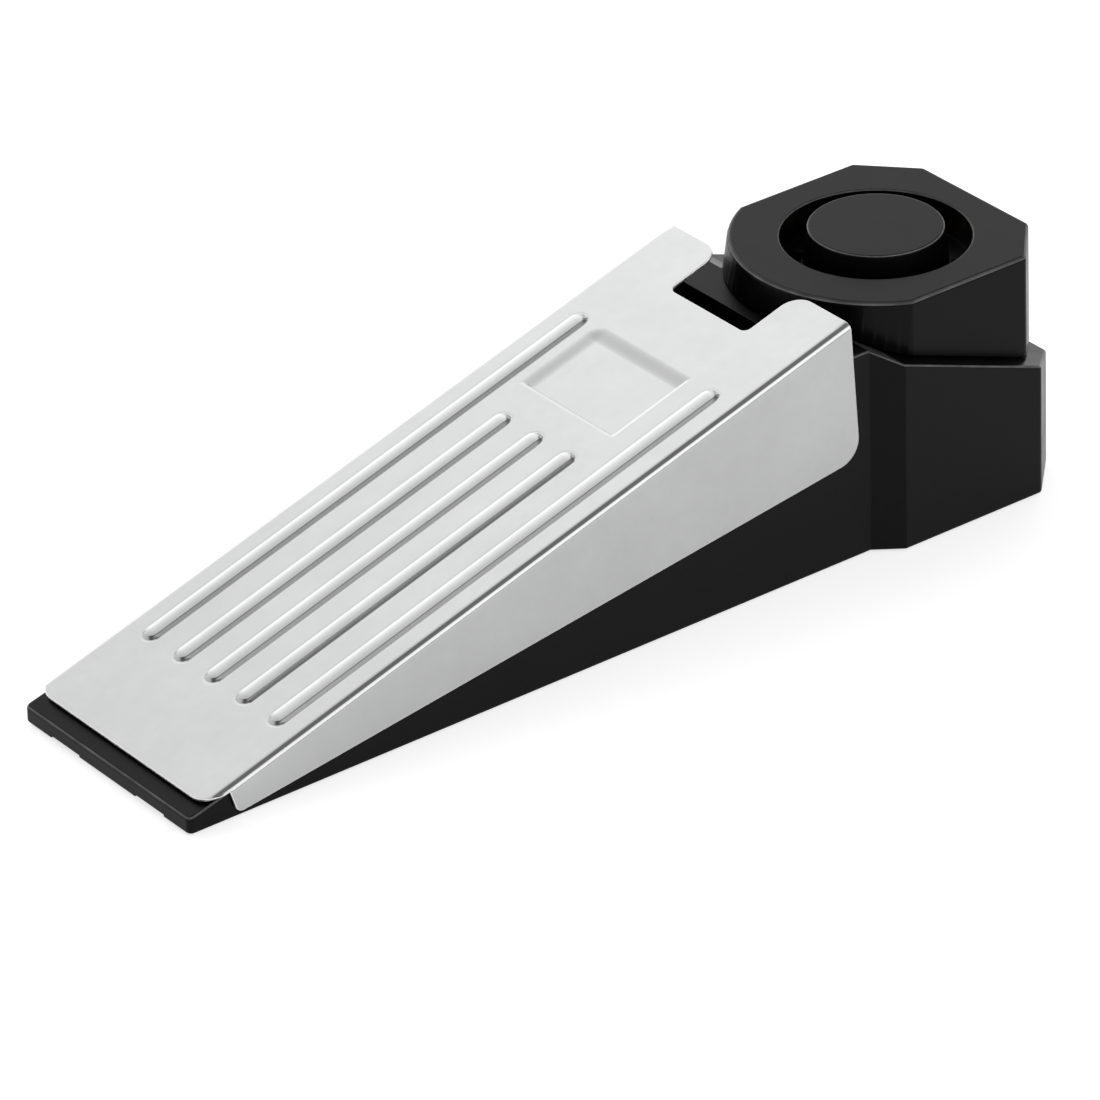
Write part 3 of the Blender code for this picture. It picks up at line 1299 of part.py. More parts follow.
def make_board():
    """The circuit board and the parts that stand on it."""
    half = BOARD_WIDTH * HALF
    board = block("circuit_board", (BOARD_FRONT, BOARD_REAR), (-half, half), (BOARD_HEIGHT, BOARD_TOP))
    for index, (x, y) in enumerate(post_places()[:2]):
        ends = [(x, y, 0), (x, y, BOARD_TOP + OVERRUN)]
        cut(board, rod(f"board_hole_{index}", *ends, PILOT_RADIUS, SMALL_ROUND_SIDES))
    piece(board, "board_green")
    foot = PART_FOOT
    chip_x = DIAL_X - CHIP_AHEAD_OF_DIAL
    chip_y = CHIP_WIDTH
    x_range = (chip_x - CHIP_LENGTH * HALF, chip_x + CHIP_LENGTH * HALF)
    y_range = (chip_y - CHIP_WIDTH * HALF, chip_y + CHIP_WIDTH * HALF)
    piece(block("driver_chip", x_range, y_range, (foot, foot + CHIP_HEIGHT)), "chip_black")
    coil_place = (BOARD_FRONT + COIL_INSET, -COIL_INSET)
    transistor_place = (DIAL_X + TRANSISTOR_BEHIND_DIAL, -COIL_RADIUS)
    capacitor_side = SWITCH_WIDTH * HALF + CAPACITOR_RADIUS + CAPACITOR_CLEARANCE
    capacitor_place = (BOARD_REAR - CAPACITOR_INSET, capacitor_side)
    stand = [
        ("step_up_coil", coil_place, COIL_RADIUS, COIL_HEIGHT, "ferrite"),
        ("transistor", transistor_place, TRANSISTOR_RADIUS, TRANSISTOR_HEIGHT, "chip_black"),
        ("capacitor", capacitor_place, CAPACITOR_RADIUS, CAPACITOR_HEIGHT, "capacitor_blue"),
    ]
    for name, place, radius, height, colour in stand:
        can = rod(name, (*place, foot), (*place, foot + height), radius, SMALL_ROUND_SIDES)
        piece(can, colour, smooth=True)
    start = DIAL_X + GAP
    y = -BOARD_WIDTH * HALF + POST_INSET
    z = foot + RESISTOR_RADIUS
    ends = [(start, y, z), (start + RESISTOR_LENGTH, y, z)]
    piece(rod("resistor", *ends, RESISTOR_RADIUS, SMALL_ROUND_SIDES), "resistor_tan", smooth=True)


def make_power_switch():
    """The slide switch at the board's rear edge, and its knob in the rear wall's slot."""
    half = SWITCH_WIDTH * HALF
    rear = REAR_WALL_INSIDE - GAP * 4
    x_range = (rear - SWITCH_LENGTH, rear)
    body = block("power_switch", x_range, (-half, half), (PART_FOOT, PART_FOOT + SWITCH_HEIGHT))
    piece(body, "grey_plastic")
    tip = LENGTH - BASE_DRAFT - KNOB_SHY
    y_range = (KNOB_REST_Y - KNOB_WIDTH * HALF, KNOB_REST_Y + KNOB_WIDTH * HALF)
    z_range = (SWITCH_MIDDLE - KNOB_HEIGHT * HALF, SWITCH_MIDDLE + KNOB_HEIGHT * HALF)
    knob = block("power_knob", (rear + GAP, tip), y_range, z_range)
    set_origin(knob, (rear + GAP, KNOB_REST_Y, SWITCH_MIDDLE))
    piece(knob, "grey_plastic")


def make_dial():
    """The sensitivity dial in the bottom cover, and the control on the board that it turns."""
    bottom = DIAL_SHY
    flange_foot = COVER_THICKNESS + GAP
    flange_top = flange_foot + GAP * 2
    control_foot = BOARD_HEIGHT - GAP - POT_HEIGHT
    wide = DIAL_RADIUS + DIAL_FLANGE
    shaft = DIAL_SHAFT_RADIUS
    top = control_foot - GAP
    profile = [(0, bottom), (DIAL_RADIUS, bottom), (DIAL_RADIUS, flange_foot), (wide, flange_foot)]
    profile += [(wide, flange_top), (shaft, flange_top), (shaft, top), (0, top)]
    dial = turned("sensitivity_dial", profile, (DIAL_X, 0))
    length = DIAL_RADIUS - DIAL_SLOT_WIDTH
    half = DIAL_SLOT_WIDTH * HALF
    x_range = (DIAL_X - length, DIAL_X + length)
    cut(dial, block("dial_slot", x_range, (-half, half), (-OVERRUN, bottom + DIAL_SLOT_DEPTH)))
    set_origin(dial, (DIAL_X, 0, bottom))
    piece(dial, "grey_plastic", smooth=True)
    half = POT_SIZE * HALF
    x_range = (DIAL_X - half, DIAL_X + half)
    z_range = (control_foot, control_foot + POT_HEIGHT)
    piece(block("sensitivity_control", x_range, (-half, half), z_range), "white_plastic")


def screw(name, x, y, seat, length, up=1):
    """A slotted screw. Its head's inner face is at the seat, and the shank runs up or down from it."""
    outside = seat - up * SCREW_HEAD_HEIGHT
    tip = seat + up * length
    profile = [(0, outside), (SCREW_HEAD_RADIUS, outside), (SCREW_HEAD_RADIUS, seat)]
    profile += [(SCREW_SHANK_RADIUS, seat), (SCREW_SHANK_RADIUS, tip), (0, tip)]
    thing = turned(name, profile, (x, y), SMALL_ROUND_SIDES)
    half = SCREW_SLOT_WIDTH * HALF
    x_range = (x - SCREW_HEAD_RADIUS * 2, x + SCREW_HEAD_RADIUS * 2)
    depths = sorted([outside - up * OVERRUN, outside + up * SCREW_SLOT_DEPTH])
    cut(thing, block(f"{name}_slot", x_range, (y - half, y + half), depths))
    piece(thing, "bright_steel")


def make_screws():
    seat = SCREW_SHY + SCREW_HEAD_HEIGHT
    for index, (x, y) in enumerate(cover_screw_places()):
        screw(f"cover_screw_{index + 1}", x, y, seat, COVER_SCREW_LENGTH)
    for index, (x, y) in enumerate(head_screw_places()):
        screw(f"head_screw_{index + 1}", x, y, head_screw_seat() - GAP, HEAD_SCREW_LENGTH)
    for index, (x, y) in enumerate(post_places()[:2]):
        screw(f"board_screw_{index + 1}", x, y, PART_FOOT, BOARD_SCREW_LENGTH, -1)


def main():
    clear_scene()
    frame = bpy.data.objects.new("wedge_frame", None)
    bpy.context.scene.collection.objects.link(frame)
    frame.location = (-LENGTH * HALF, 0, PAD_PROUD)
    make_base()
    make_cover()
    make_lid()
    make_pads()
    make_plate()
    make_hinge_pin()
    make_head()
    make_cap()
    make_sounder()
    make_trigger()
    make_springs()
    make_battery()
    make_board()
    make_power_switch()
    make_dial()
    make_screws()
    make_leads()


main()
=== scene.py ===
"""Looks of the door stop alarm: finishes, finer visible shells, studio and camera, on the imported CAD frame.

Lengths are metres in the row frame. The plate's own sizes follow the CAD source, measured along its slope.
"""

import json
import math
from typing import NamedTuple

import bmesh
import bpy
from mathutils import Matrix, Vector
from mathutils.geometry import delaunay_2d_cdt


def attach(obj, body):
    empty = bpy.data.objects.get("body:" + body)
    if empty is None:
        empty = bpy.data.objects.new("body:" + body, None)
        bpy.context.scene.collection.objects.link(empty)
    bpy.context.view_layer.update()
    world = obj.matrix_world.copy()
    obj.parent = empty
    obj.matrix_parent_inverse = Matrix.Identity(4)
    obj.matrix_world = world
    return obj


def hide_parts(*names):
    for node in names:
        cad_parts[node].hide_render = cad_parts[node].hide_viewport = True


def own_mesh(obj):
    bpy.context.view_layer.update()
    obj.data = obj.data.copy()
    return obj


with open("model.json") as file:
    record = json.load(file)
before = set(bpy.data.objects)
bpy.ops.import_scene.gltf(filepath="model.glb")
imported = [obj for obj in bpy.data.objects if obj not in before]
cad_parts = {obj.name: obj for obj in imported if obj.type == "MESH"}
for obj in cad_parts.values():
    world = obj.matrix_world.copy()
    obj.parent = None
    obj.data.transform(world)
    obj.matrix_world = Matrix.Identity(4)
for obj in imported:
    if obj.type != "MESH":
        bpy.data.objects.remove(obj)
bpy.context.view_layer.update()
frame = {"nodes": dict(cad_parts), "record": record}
MM = 0.001

# Camera, fitted to corner points of the photograph
CAMERA_AZIMUTH = math.radians(-36.892)
CAMERA_ELEVATION = math.radians(29.798)
CAMERA_ROLL = math.radians(-1.687)
CAMERA_LENS = 243.07
CAMERA_SENSOR = 36.0
CAMERA_DISTANCE = 1.0038
CAMERA_CLIP_START = 0.01
CAMERA_TARGET = (-0.02509, -0.03182, 0.03042)

# Where the CAD model's own frame lies in the row frame: x from the nose, z from the plastic underside
NOSE_X = -78.0 * MM
UNDERSIDE_Z = 0.3 * MM

# Plate, measured along its slope from the foot of its front edge
PLATE_FOOT_HEIGHT = 3.35 * MM
PLATE_FOOT = Vector((NOSE_X, 0, UNDERSIDE_Z + PLATE_FOOT_HEIGHT))
PLATE_RISE = 34.35 * MM
PLATE_RUN = 112.6 * MM
PLATE_ANGLE = math.atan(PLATE_RISE / PLATE_RUN)
SHEET = 0.5 * MM
PLATE_HALF_WIDTH = 20.4 * MM
BEND_RADIUS = 1.15 * MM
PLATE_FRONT = 2.5 * MM
PLATE_REAR = 120.5 * MM
PLATE_CORNER = 3.8 * MM
EAR_CORNER = 3.2 * MM
NOTCH_DEPTH = 9.9 * MM
NOTCH_HALF_WIDTH = 8.55 * MM
NOTCH_CORNER = 1.2 * MM
FLANGE_START = 6.6 * MM
FLANGE_FRONT_DEPTH = 4.5 * MM
FLANGE_REAR_DEPTH = 21.5 * MM
FLANGE_REAR_LEAN = 4.8 * MM
FLANGE_FRONT_CORNER = 1.2 * MM
FLANGE_REAR_CORNER = 3.8 * MM
LIP_DEPTH = 0.65 * MM
SHEET_EDGE = 0.12 * MM
ROUND_SHARE = 0.71
CUT_EDGE_INDEX = 1

# Ribs and panel
RIB_START = 18.1 * MM
RIB_END_RADIUS = 1.6 * MM
LONG_RIB_END = 99.8 * MM
SHORT_RIB_END = 79.2 * MM
INNER_RIB_PITCH = 7.35 * MM
OUTER_RIB_OFFSET = 14.9 * MM
PANEL_START = 85.2 * MM
PANEL_END = 97.0 * MM
PANEL_HALF_WIDTH = 9.05 * MM
PANEL_DEPTH = 0.36 * MM
PANEL_LONG_RUN = 2.6 * MM
PANEL_SHORT_RUN = 0.66 * MM

# Section of a rib, in millimetres out from its middle: a domed crown, a straight wall and a faint groove
CROWN_REACHES = (0, 0.25, 0.5, 0.75, 1.0, 1.06, 1.1)
CROWN_HEIGHT = 0.5505
CROWN_FALL = 0.105
WALL_REACHES = (1.14, 1.18, 1.33, 1.48, 1.52)
WALL_TOP = 0.4005
WALL_SLOPE = math.tan(math.radians(46))
GROOVE = ((1.56, -0.0115), (1.6, -0.014), (1.66, -0.015), (1.8, -0.0085), (1.95, 0))

# Section of the panel's walls as shares of their run and depth: gentle on two sides, steep on two
GENTLE_REACH = (0, 0.12, 0.24, 0.36, 0.5, 0.64, 0.76, 0.88, 1)
GENTLE_RISE = tuple(share * share * (3 - 2 * share) for share in GENTLE_REACH)
STEEP_REACH = (0, 0.05, 0.27, 0.32, 0.6, 0.9, 1)
STEEP_RISE = (0, 0.06, 0.75, 0.82, 0.93, 0.99, 1)

# How finely the sheet is meshed. The guard strips keep coarse lines off fine ones and off the sheet's border.
COARSE_STEP = 2.4 * MM
GUARD_STEP = 0.12 * MM
GUARD_EDGES = 2.5
GRID_CLOSEST = 0.02 * MM
BEND_STEPS = 14
CORNER_STEPS = 16
BORDER_STEP = 0.6 * MM
CORNER_GRID_STEP = 0.3 * MM
CORNER_GRID_REACH = 1.5 * MM
FILL_INSIDE = 1
POINT_TOLERANCE = 1e-7
SMOOTH_ANGLE = math.radians(35)
PLATE_SMOOTH_ANGLE = math.radians(20)

# Hinge lugs under the plate, in the CAD model's own frame. They end inside the sheet, at a share of it.
HINGE_PLACE = (8.0 * MM, 2.9 * MM)
LUG_RADIUS = 1.7 * MM
LUG_BORE = 1.0 * MM
LUG_PLACES = (-12.0 * MM, 0, 12.0 * MM)
LUG_ROOF_SHARE = 0.7
LUG_STEPS = 24

# The two springs in the well, in the CAD model's own frame. Each end rises by a share of the wire's radius.
SPRING_X = 105.1 * MM
SPRING_OFFSET = 13.3 * MM
SPRING_FOOT = 22.8 * MM
SPRING_HEIGHT = 10.8 * MM
SPRING_RADIUS = 3.1 * MM
SPRING_TURNS = 5
SPRING_END_TURNS = 0.75
SPRING_END_RISE_SHARE = 1.1
SPRING_STEPS = 32
WIRE_RADIUS = 0.35 * MM
WIRE_SIDES = 12

# Studio: the floor's own colour and glow, and the light of the sky over it
WHITE = (1, 1, 1, 1)
FLOOR_REACH = 4.0
FLOOR_GAP = 0.02 * MM
FLOOR_COLOUR = (0.80, 0.80, 0.80)
FLOOR_ROUGHNESS = 0.9
FLOOR_GLOW = 0.67
MIRRORED_GLOW = 0.52
SKY_PEAK = 2.0

# Brightness of the sky by the turn in degrees from the horizon behind, over the zenith, to that in front
SKY_ARCH = (
    (0, 1.75), (25, 1.85), (45, 1.5), (62, 1.3), (72, 1.05), (82, 0.3), (129, 0.3), (136, 1.78), (171, 1.78),
    (175, 0.05), (177, 0.05), (180, 1.0),
)

# Factor on that brightness from the left, -1, to the right, 1
SKY_SIDES = (
    (-1, 0.45), (-0.4, 0.52), (-0.15, 0.66), (0.1, 0.79), (0.18, 1.0), (0.33, 1.12), (0.52, 0.6), (1, 0.8),
)

# Share of a noise's range in which most of its values lie
NOISE_SPAN = (0.3, 0.7)

# Painted highlight on the casing's edges: how strong it is by the upward part of their direction, and how
# unevenly
PAINTED_HIGHLIGHT_SLOPES = ((0.4, 0), (0.6, 1), (0.77, 1), (0.92, 0))
PAINTED_HIGHLIGHT_SPREAD = (0.5, 1)

# Sockets of a node that mixes colours, whose names it uses more than once
MIX_FACTOR = 0
MIX_FIRST = 6
MIX_SECOND = 7
MIX_RESULT = 2

BEVEL_SAMPLES = 6


class Noise(NamedTuple):
    """A noise over the piece's own coordinates. Its scale is in cells a metre."""
    scale: float
    detail: float
    roughness: float = 0.5
    stretch: tuple = ()


class Recipe(NamedTuple):
    """How a kind of material is textured. The spreads are factors on its colour and on its roughness."""
    tone: Noise
    tone_spread: tuple
    gloss: Noise
    gloss_spread: tuple
    grain: Noise
    grain_height: float
    grain_strength: float
    specular: float
    metallic: float = 0.0
    soft_edge: float = 0.0
    worn: tuple = ()


# Noise that makes the painted edge highlight uneven
PAINTED_HIGHLIGHT_NOISE = Noise(350, 3)
METAL_GRAIN = Noise(5200, 2)
DRAWN_GRAIN = METAL_GRAIN._replace(stretch=(1, 1, 0.2))

# Moulded plastic: slow changes of tone and gloss, a fine spark-eroded grain, and softened edges
PLASTIC = Recipe(
    tone=Noise(70, 4),
    tone_spread=(0.88, 1.12),
    gloss=Noise(160, 3),
    gloss_spread=(0.9, 1.12),
    grain=Noise(3800, 2),
    grain_height=0.004 * MM,
    grain_strength=0.5,
    specular=0.35,
    soft_edge=0.22 * MM,
)
# The casing's plastic, with a painted highlight on its edges that face up and outwards
CASING = PLASTIC._replace(specular=0.12, worn=(0.21, 0.21, 0.21))

# Metal with a fine blasted grain, and wire with a drawn one
METAL = Recipe(
    tone=Noise(60, 8, roughness=0.78),
    tone_spread=(0.95, 1.05),
    gloss=METAL_GRAIN,
    gloss_spread=(0.85, 1.15),
    grain=METAL_GRAIN,
    grain_height=0.0012 * MM,
    grain_strength=0.4,
    specular=0.5,
    metallic=1.0,
)
WIRE = METAL._replace(gloss=DRAWN_GRAIN, grain=DRAWN_GRAIN)

# Moulded rubber, dusty and coarse
RUBBER = Recipe(
    tone=Noise(300, 4),
    tone_spread=(0.8, 1.3),
    gloss=Noise(900, 2),
    gloss_spread=(0.8824, 1.0824),
    grain=Noise(2500, 3),
    grain_height=0.02 * MM,
    grain_strength=0.6,
    specular=0.3,
)

# Recipe, colour and roughness of each finish. All but the cut edge's are slots of the record. The cut edge's
# is a lighter copy of the steel that paints a white highlight line along the plate's cut edge.
FINISHES = {
    "black_plastic": (CASING, (0.002, 0.002, 0.0021), 0.30),
    "black_rubber": (RUBBER, (0.028, 0.028, 0.028), 0.85),
    "satin_steel": (METAL, (0.52, 0.523, 0.523), 0.17),
    # Painted highlight: the steel lightened far past its own colour, for the bright line along the cut edge
    "cut_edge_highlight": (METAL, (0.95, 0.95, 0.95), 0.40),
    "bright_steel": (METAL, (0.66, 0.66, 0.67), 0.24),
    "spring_steel": (WIRE, (0.50, 0.51, 0.53), 0.26),
    "brass": (METAL, (0.80, 0.58, 0.25), 0.30),
    "ceramic": (PLASTIC, (0.80, 0.77, 0.68), 0.50),
    "grey_plastic": (PLASTIC, (0.32, 0.33, 0.34), 0.50),
    "white_plastic": (PLASTIC, (0.75, 0.75, 0.73), 0.45),
    "board_green": (PLASTIC, (0.02, 0.16, 0.06), 0.40),
    "chip_black": (PLASTIC, (0.03, 0.03, 0.03), 0.50),
    "capacitor_blue": (PLASTIC, (0.03, 0.06, 0.20), 0.35),
    "resistor_tan": (PLASTIC, (0.55, 0.42, 0.26), 0.55),
    "ferrite": (PLASTIC, (0.10, 0.10, 0.11), 0.60),
    "battery_jacket": (PLASTIC, (0.10, 0.11, 0.13), 0.30),
    "red_lead": (PLASTIC, (0.55, 0.02, 0.02), 0.45),
    "black_lead": (PLASTIC, (0.02, 0.02, 0.02), 0.45),
}


# Helpers for the nodes of materials and of the world

def math_node(tree, operation, first, second=0, clamp=False):
    """The result of a sum, of which each side is a number or the output of another node."""
    made = tree.nodes.new("ShaderNodeMath")
    made.operation = operation
    made.use_clamp = clamp
    for socket, value in zip(made.inputs, (first, second)):
        if isinstance(value, (int, float)):
            socket.default_value = value
        else:
            tree.links.new(value, socket)
    return made.outputs[0]


def spread_node(tree, value, source, target=(0, 1)):
    """A value spread from the source range over the target range."""
    made = tree.nodes.new("ShaderNodeMapRange")
    for socket, number in zip(("From Min", "From Max", "To Min", "To Max"), (*source, *target)):
        made.inputs[socket].default_value = number
    tree.links.new(value, made.inputs["Value"])
    return made.outputs["Result"]


def ramp_node(tree, value, stops, interpolation="LINEAR"):
    """The colour that a value between 0 and 1 has on a ramp of stops, each a place and a colour."""
    made = tree.nodes.new("ShaderNodeValToRGB")
    made.color_ramp.interpolation = interpolation
    elements = made.color_ramp.elements
    while len(elements) < len(stops):
        elements.new(0.5)
    for index, (place, colour) in enumerate(stops):
        elements[index].position = place
        elements[index].color = (*colour, 1)
    tree.links.new(value, made.inputs["Fac"])
    return made.outputs["Color"]


# Finishes

class Finish:
    """A Principled material whose colour, roughness and bump come from procedural textures."""

    def __init__(self, name, recipe, colour, roughness):
        self.material = bpy.data.materials.new(name)
        self.material.use_nodes = True
        self.tree = self.material.node_tree
        self.shader = self.tree.nodes["Principled BSDF"]
        self.shader.inputs["Metallic"].default_value = recipe.metallic
        self.shader.inputs["Specular IOR Level"].default_value = recipe.specular
        self.axes = self.tree.nodes.new("ShaderNodeTexCoord")
        self.set_colour(recipe, colour)
        self.set_roughness(recipe, roughness)
        self.set_bump(recipe)

    def noise(self, settings):
        place = self.axes.outputs["Object"]
        if settings.stretch:
            mapping = self.tree.nodes.new("ShaderNodeMapping")
            mapping.inputs["Scale"].default_value = settings.stretch
            self.tree.links.new(place, mapping.inputs["Vector"])
            place = mapping.outputs["Vector"]
        texture = self.tree.nodes.new("ShaderNodeTexNoise")
        texture.inputs["Scale"].default_value = settings.scale
        texture.inputs["Detail"].default_value = settings.detail
        texture.inputs["Roughness"].default_value = settings.roughness
        self.tree.links.new(place, texture.inputs["Vector"])
        return texture.outputs["Fac"]

    def set_colour(self, recipe, colour):
        tones = [tinted(colour, factor) for factor in recipe.tone_spread]
        found = ramp_node(self.tree, self.noise(recipe.tone), list(zip(NOISE_SPAN, tones)))
        # A painted highlight on the edges that face up and outwards
        if recipe.worn:
            found = self.worn(found, recipe.worn)
        self.tree.links.new(found, self.shader.inputs["Base Color"])

    def worn(self, plain, tone):
        """Paints a highlight, unevenly, on the rounded edges that face up and outwards, in place of the light
        they would catch.
        """
        split = self.tree.nodes.new("ShaderNodeSeparateXYZ")
        self.tree.links.new(self.axes.outputs["Normal"], split.inputs[0])
        slopes = ramp_node(self.tree, split.outputs["Z"], greys(PAINTED_HIGHLIGHT_SLOPES))
        uneven = spread_node(self.tree, self.noise(PAINTED_HIGHLIGHT_NOISE), NOISE_SPAN, PAINTED_HIGHLIGHT_SPREAD)
        mix = self.tree.nodes.new("ShaderNodeMix")
        mix.data_type = "RGBA"
        mix.inputs[MIX_SECOND].default_value = (*tone, 1)
        self.tree.links.new(math_node(self.tree, "MULTIPLY", slopes, uneven), mix.inputs[MIX_FACTOR])
        self.tree.links.new(plain, mix.inputs[MIX_FIRST])
        return mix.outputs[MIX_RESULT]

    def set_roughness(self, recipe, roughness):
        target = [roughness * factor for factor in recipe.gloss_spread]
        found = spread_node(self.tree, self.noise(recipe.gloss), NOISE_SPAN, target)
        self.tree.links.new(found, self.shader.inputs["Roughness"])

    def set_bump(self, recipe):
        """A fine grain, and the shading of edges rounded where the recipe softens them."""
        bump = self.tree.nodes.new("ShaderNodeBump")
        bump.inputs["Strength"].default_value = recipe.grain_strength
        bump.inputs["Distance"].default_value = recipe.grain_height
        self.tree.links.new(self.noise(recipe.grain), bump.inputs["Height"])
        if recipe.soft_edge:
            edge = self.tree.nodes.new("ShaderNodeBevel")
            edge.samples = BEVEL_SAMPLES
            edge.inputs["Radius"].default_value = recipe.soft_edge
            self.tree.links.new(edge.outputs["Normal"], bump.inputs["Normal"])
        self.tree.links.new(bump.outputs["Normal"], self.shader.inputs["Normal"])


def tinted(colour, factor):
    """The colour made lighter or darker by a factor."""
    return tuple(min(1.0, channel * factor) for channel in colour)


def greys(stops):
    """Stops of a ramp as greys, from pairs of a place and a level."""
    return [(place, (level, level, level)) for place, level in stops]


def make_finishes():
    """One material for each row of the table of finishes."""
    return {name: Finish(name, *row).material for name, row in FINISHES.items()}


def dress_nodes(finishes):
    """Gives every CAD node the finish of its slot in the record."""
    for row in frame["record"]["subparts"]:
        node = frame["nodes"][row["node"]]
        node.data.materials.clear()
        node.data.materials.append(finishes[row["material_slot"]])


# Outlines in the plane

def rounded(corners):
    """An outline whose corners (x, y, radius) are rounded where the radius isn't 0."""
    outline = []
    count = len(corners)
    for index, (x, y, radius) in enumerate(corners):
        here = Vector((x, y))
        if radius == 0:
            outline.append(here)
            continue
        before = (Vector(corners[index - 1][:2]) - here).normalized()
        after = (Vector(corners[(index + 1) % count][:2]) - here).normalized()
        half_angle = before.angle(after) / 2
        reach = radius / math.tan(half_angle)
        centre = here + (before + after).normalized() * (radius / math.sin(half_angle))
        first = here + before * reach - centre
        last = here + after * reach - centre
        sweep = first.angle_signed(last)
        for step in range(CORNER_STEPS + 1):
            outline.append(centre + Matrix.Rotation(-sweep * step / CORNER_STEPS, 2) @ first)
    return outline


def offset(outline, distance):
    """The outline, drawn anticlockwise, moved inwards by a distance."""
    moved = []
    count = len(outline)
    for index, here in enumerate(outline):
        inward = Vector((0, 0))
        for edge in (here - outline[index - 1], outline[(index + 1) % count] - here):
            edge = edge.normalized()
            inward += Vector((-edge.y, edge.x))
        moved.append(here + inward * (2 * distance / inward.dot(inward)))
    return moved


def divided(outline, longest):
    """The outline with points added so that no side is longer than a length."""
    points = []
    for index, here in enumerate(outline):
        after = outline[(index + 1) % len(outline)]
        parts = max(1, math.ceil((after - here).length / longest))
        points += [here.lerp(after, part / parts) for part in range(parts)]
    return points


def inside(outline, x, y):
    """Whether a place lies inside the outline, by counting the sides between it and the far right."""
    found = False
    for index, here in enumerate(outline):
        before = outline[index - 1]
        if (here.y > y) != (before.y > y):
            if x < here.x + (before.x - here.x) * (y - here.y) / (before.y - here.y):
                found = not found
    return found


def circle(radius, steps):
    """Points around a circle whose centre is zero."""
    turns = [math.tau * step / steps for step in range(steps)]
    return [(radius * math.cos(turn), radius * math.sin(turn)) for turn in turns]


def finished_mesh(mesh, name, finishes, smooth_angle=SMOOTH_ANGLE):
    """An object in the scene, shaded smooth up to an angle, made from the mesh that was built."""
    bmesh.ops.recalc_face_normals(mesh, faces=mesh.faces)
    data = bpy.data.meshes.new(name)
    mesh.to_mesh(data)
    mesh.free()
    data.shade_smooth()
    data.set_sharp_from_angle(angle=smooth_angle)
    for finish in finishes:
        data.materials.append(finish)
    made = bpy.data.objects.new(name, data)
    bpy.context.scene.collection.objects.link(made)
    return made


# The plate, drawn as a flat blank of slope length and girth, and then folded

FOLD_START = PLATE_HALF_WIDTH - BEND_RADIUS
BEND_GIRTH = BEND_RADIUS * math.pi / 2
FOLD_END = FOLD_START + BEND_GIRTH


def girth_at_depth(depth):
    """Girth from the plate's middle line at which the folded sheet has come down by a depth."""
    if depth >= BEND_RADIUS:
        return FOLD_END + depth - BEND_RADIUS
    return FOLD_START + BEND_RADIUS * math.acos(1 - depth / BEND_RADIUS)


def blank_outline():
    """Outline of the unfolded plate, anticlockwise, as slope length and girth."""
    lip = girth_at_depth(LIP_DEPTH)
    front_flange = girth_at_depth(FLANGE_FRONT_DEPTH)
    rear_flange = girth_at_depth(FLANGE_REAR_DEPTH)
    notch_front = PLATE_REAR - NOTCH_DEPTH
    near = [
        (PLATE_FRONT, -lip, PLATE_CORNER),
        (FLANGE_START, -lip, 0),
        (FLANGE_START, -front_flange, FLANGE_FRONT_CORNER),
        (PLATE_REAR - FLANGE_REAR_LEAN, -rear_flange, FLANGE_REAR_CORNER),
        (PLATE_REAR, -girth_at_depth(SHEET), 0),
        (PLATE_REAR, -NOTCH_HALF_WIDTH, EAR_CORNER),
        (notch_front, -NOTCH_HALF_WIDTH, NOTCH_CORNER),
    ]
    far = [(x, -y, radius) for x, y, radius in reversed(near)]
    return rounded(near + far)


def rib_section():
    """Places from the middle of a rib outwards, and the height of its section at each, in millimetres."""
    crown = [(reach, CROWN_HEIGHT - CROWN_FALL * reach * reach) for reach in CROWN_REACHES]
    wall = [(reach, WALL_TOP - WALL_SLOPE * (reach - WALL_REACHES[0])) for reach in WALL_REACHES]
    return zip(*crown, *wall, *GROOVE)


RIB_REACH, RIB_HEIGHT = rib_section()


def ribs():
    """Rear end and place across the plate of each rib."""
    return [
        (LONG_RIB_END, OUTER_RIB_OFFSET),
        (SHORT_RIB_END, INNER_RIB_PITCH),
        (SHORT_RIB_END, 0),
        (SHORT_RIB_END, -INNER_RIB_PITCH),
        (LONG_RIB_END, -OUTER_RIB_OFFSET),
    ]


def interpolated(value, places, heights):
    """Height at a value on straight lines between the places, and level beyond them."""
    if value <= places[0]:
        return heights[0]
    for index in range(1, len(places)):
        if value <= places[index]:
            share = (value - places[index - 1]) / (places[index] - places[index - 1])
            return heights[index - 1] + (heights[index] - heights[index - 1]) * share
    return heights[-1]


def relief(x, y):
    """Height of the pressed ribs and panel over the flat sheet."""
    height = 0
    for end, place in ribs():
        along = min(max(x, RIB_START + RIB_END_RADIUS), end - RIB_END_RADIUS)
        reach = math.hypot(x - along, y - place) / MM
        height += MM * interpolated(reach, RIB_REACH, RIB_HEIGHT)
    gentle = math.hypot(max(x - PANEL_END, 0), max(y - PANEL_HALF_WIDTH, 0)) / PANEL_LONG_RUN
    steep = math.hypot(max(PANEL_START - x, 0), max(-y - PANEL_HALF_WIDTH, 0)) / PANEL_SHORT_RUN
    rise = max(interpolated(gentle, GENTLE_REACH, GENTLE_RISE), interpolated(steep, STEEP_REACH, STEEP_RISE))
    return height - PANEL_DEPTH * (1 - rise)


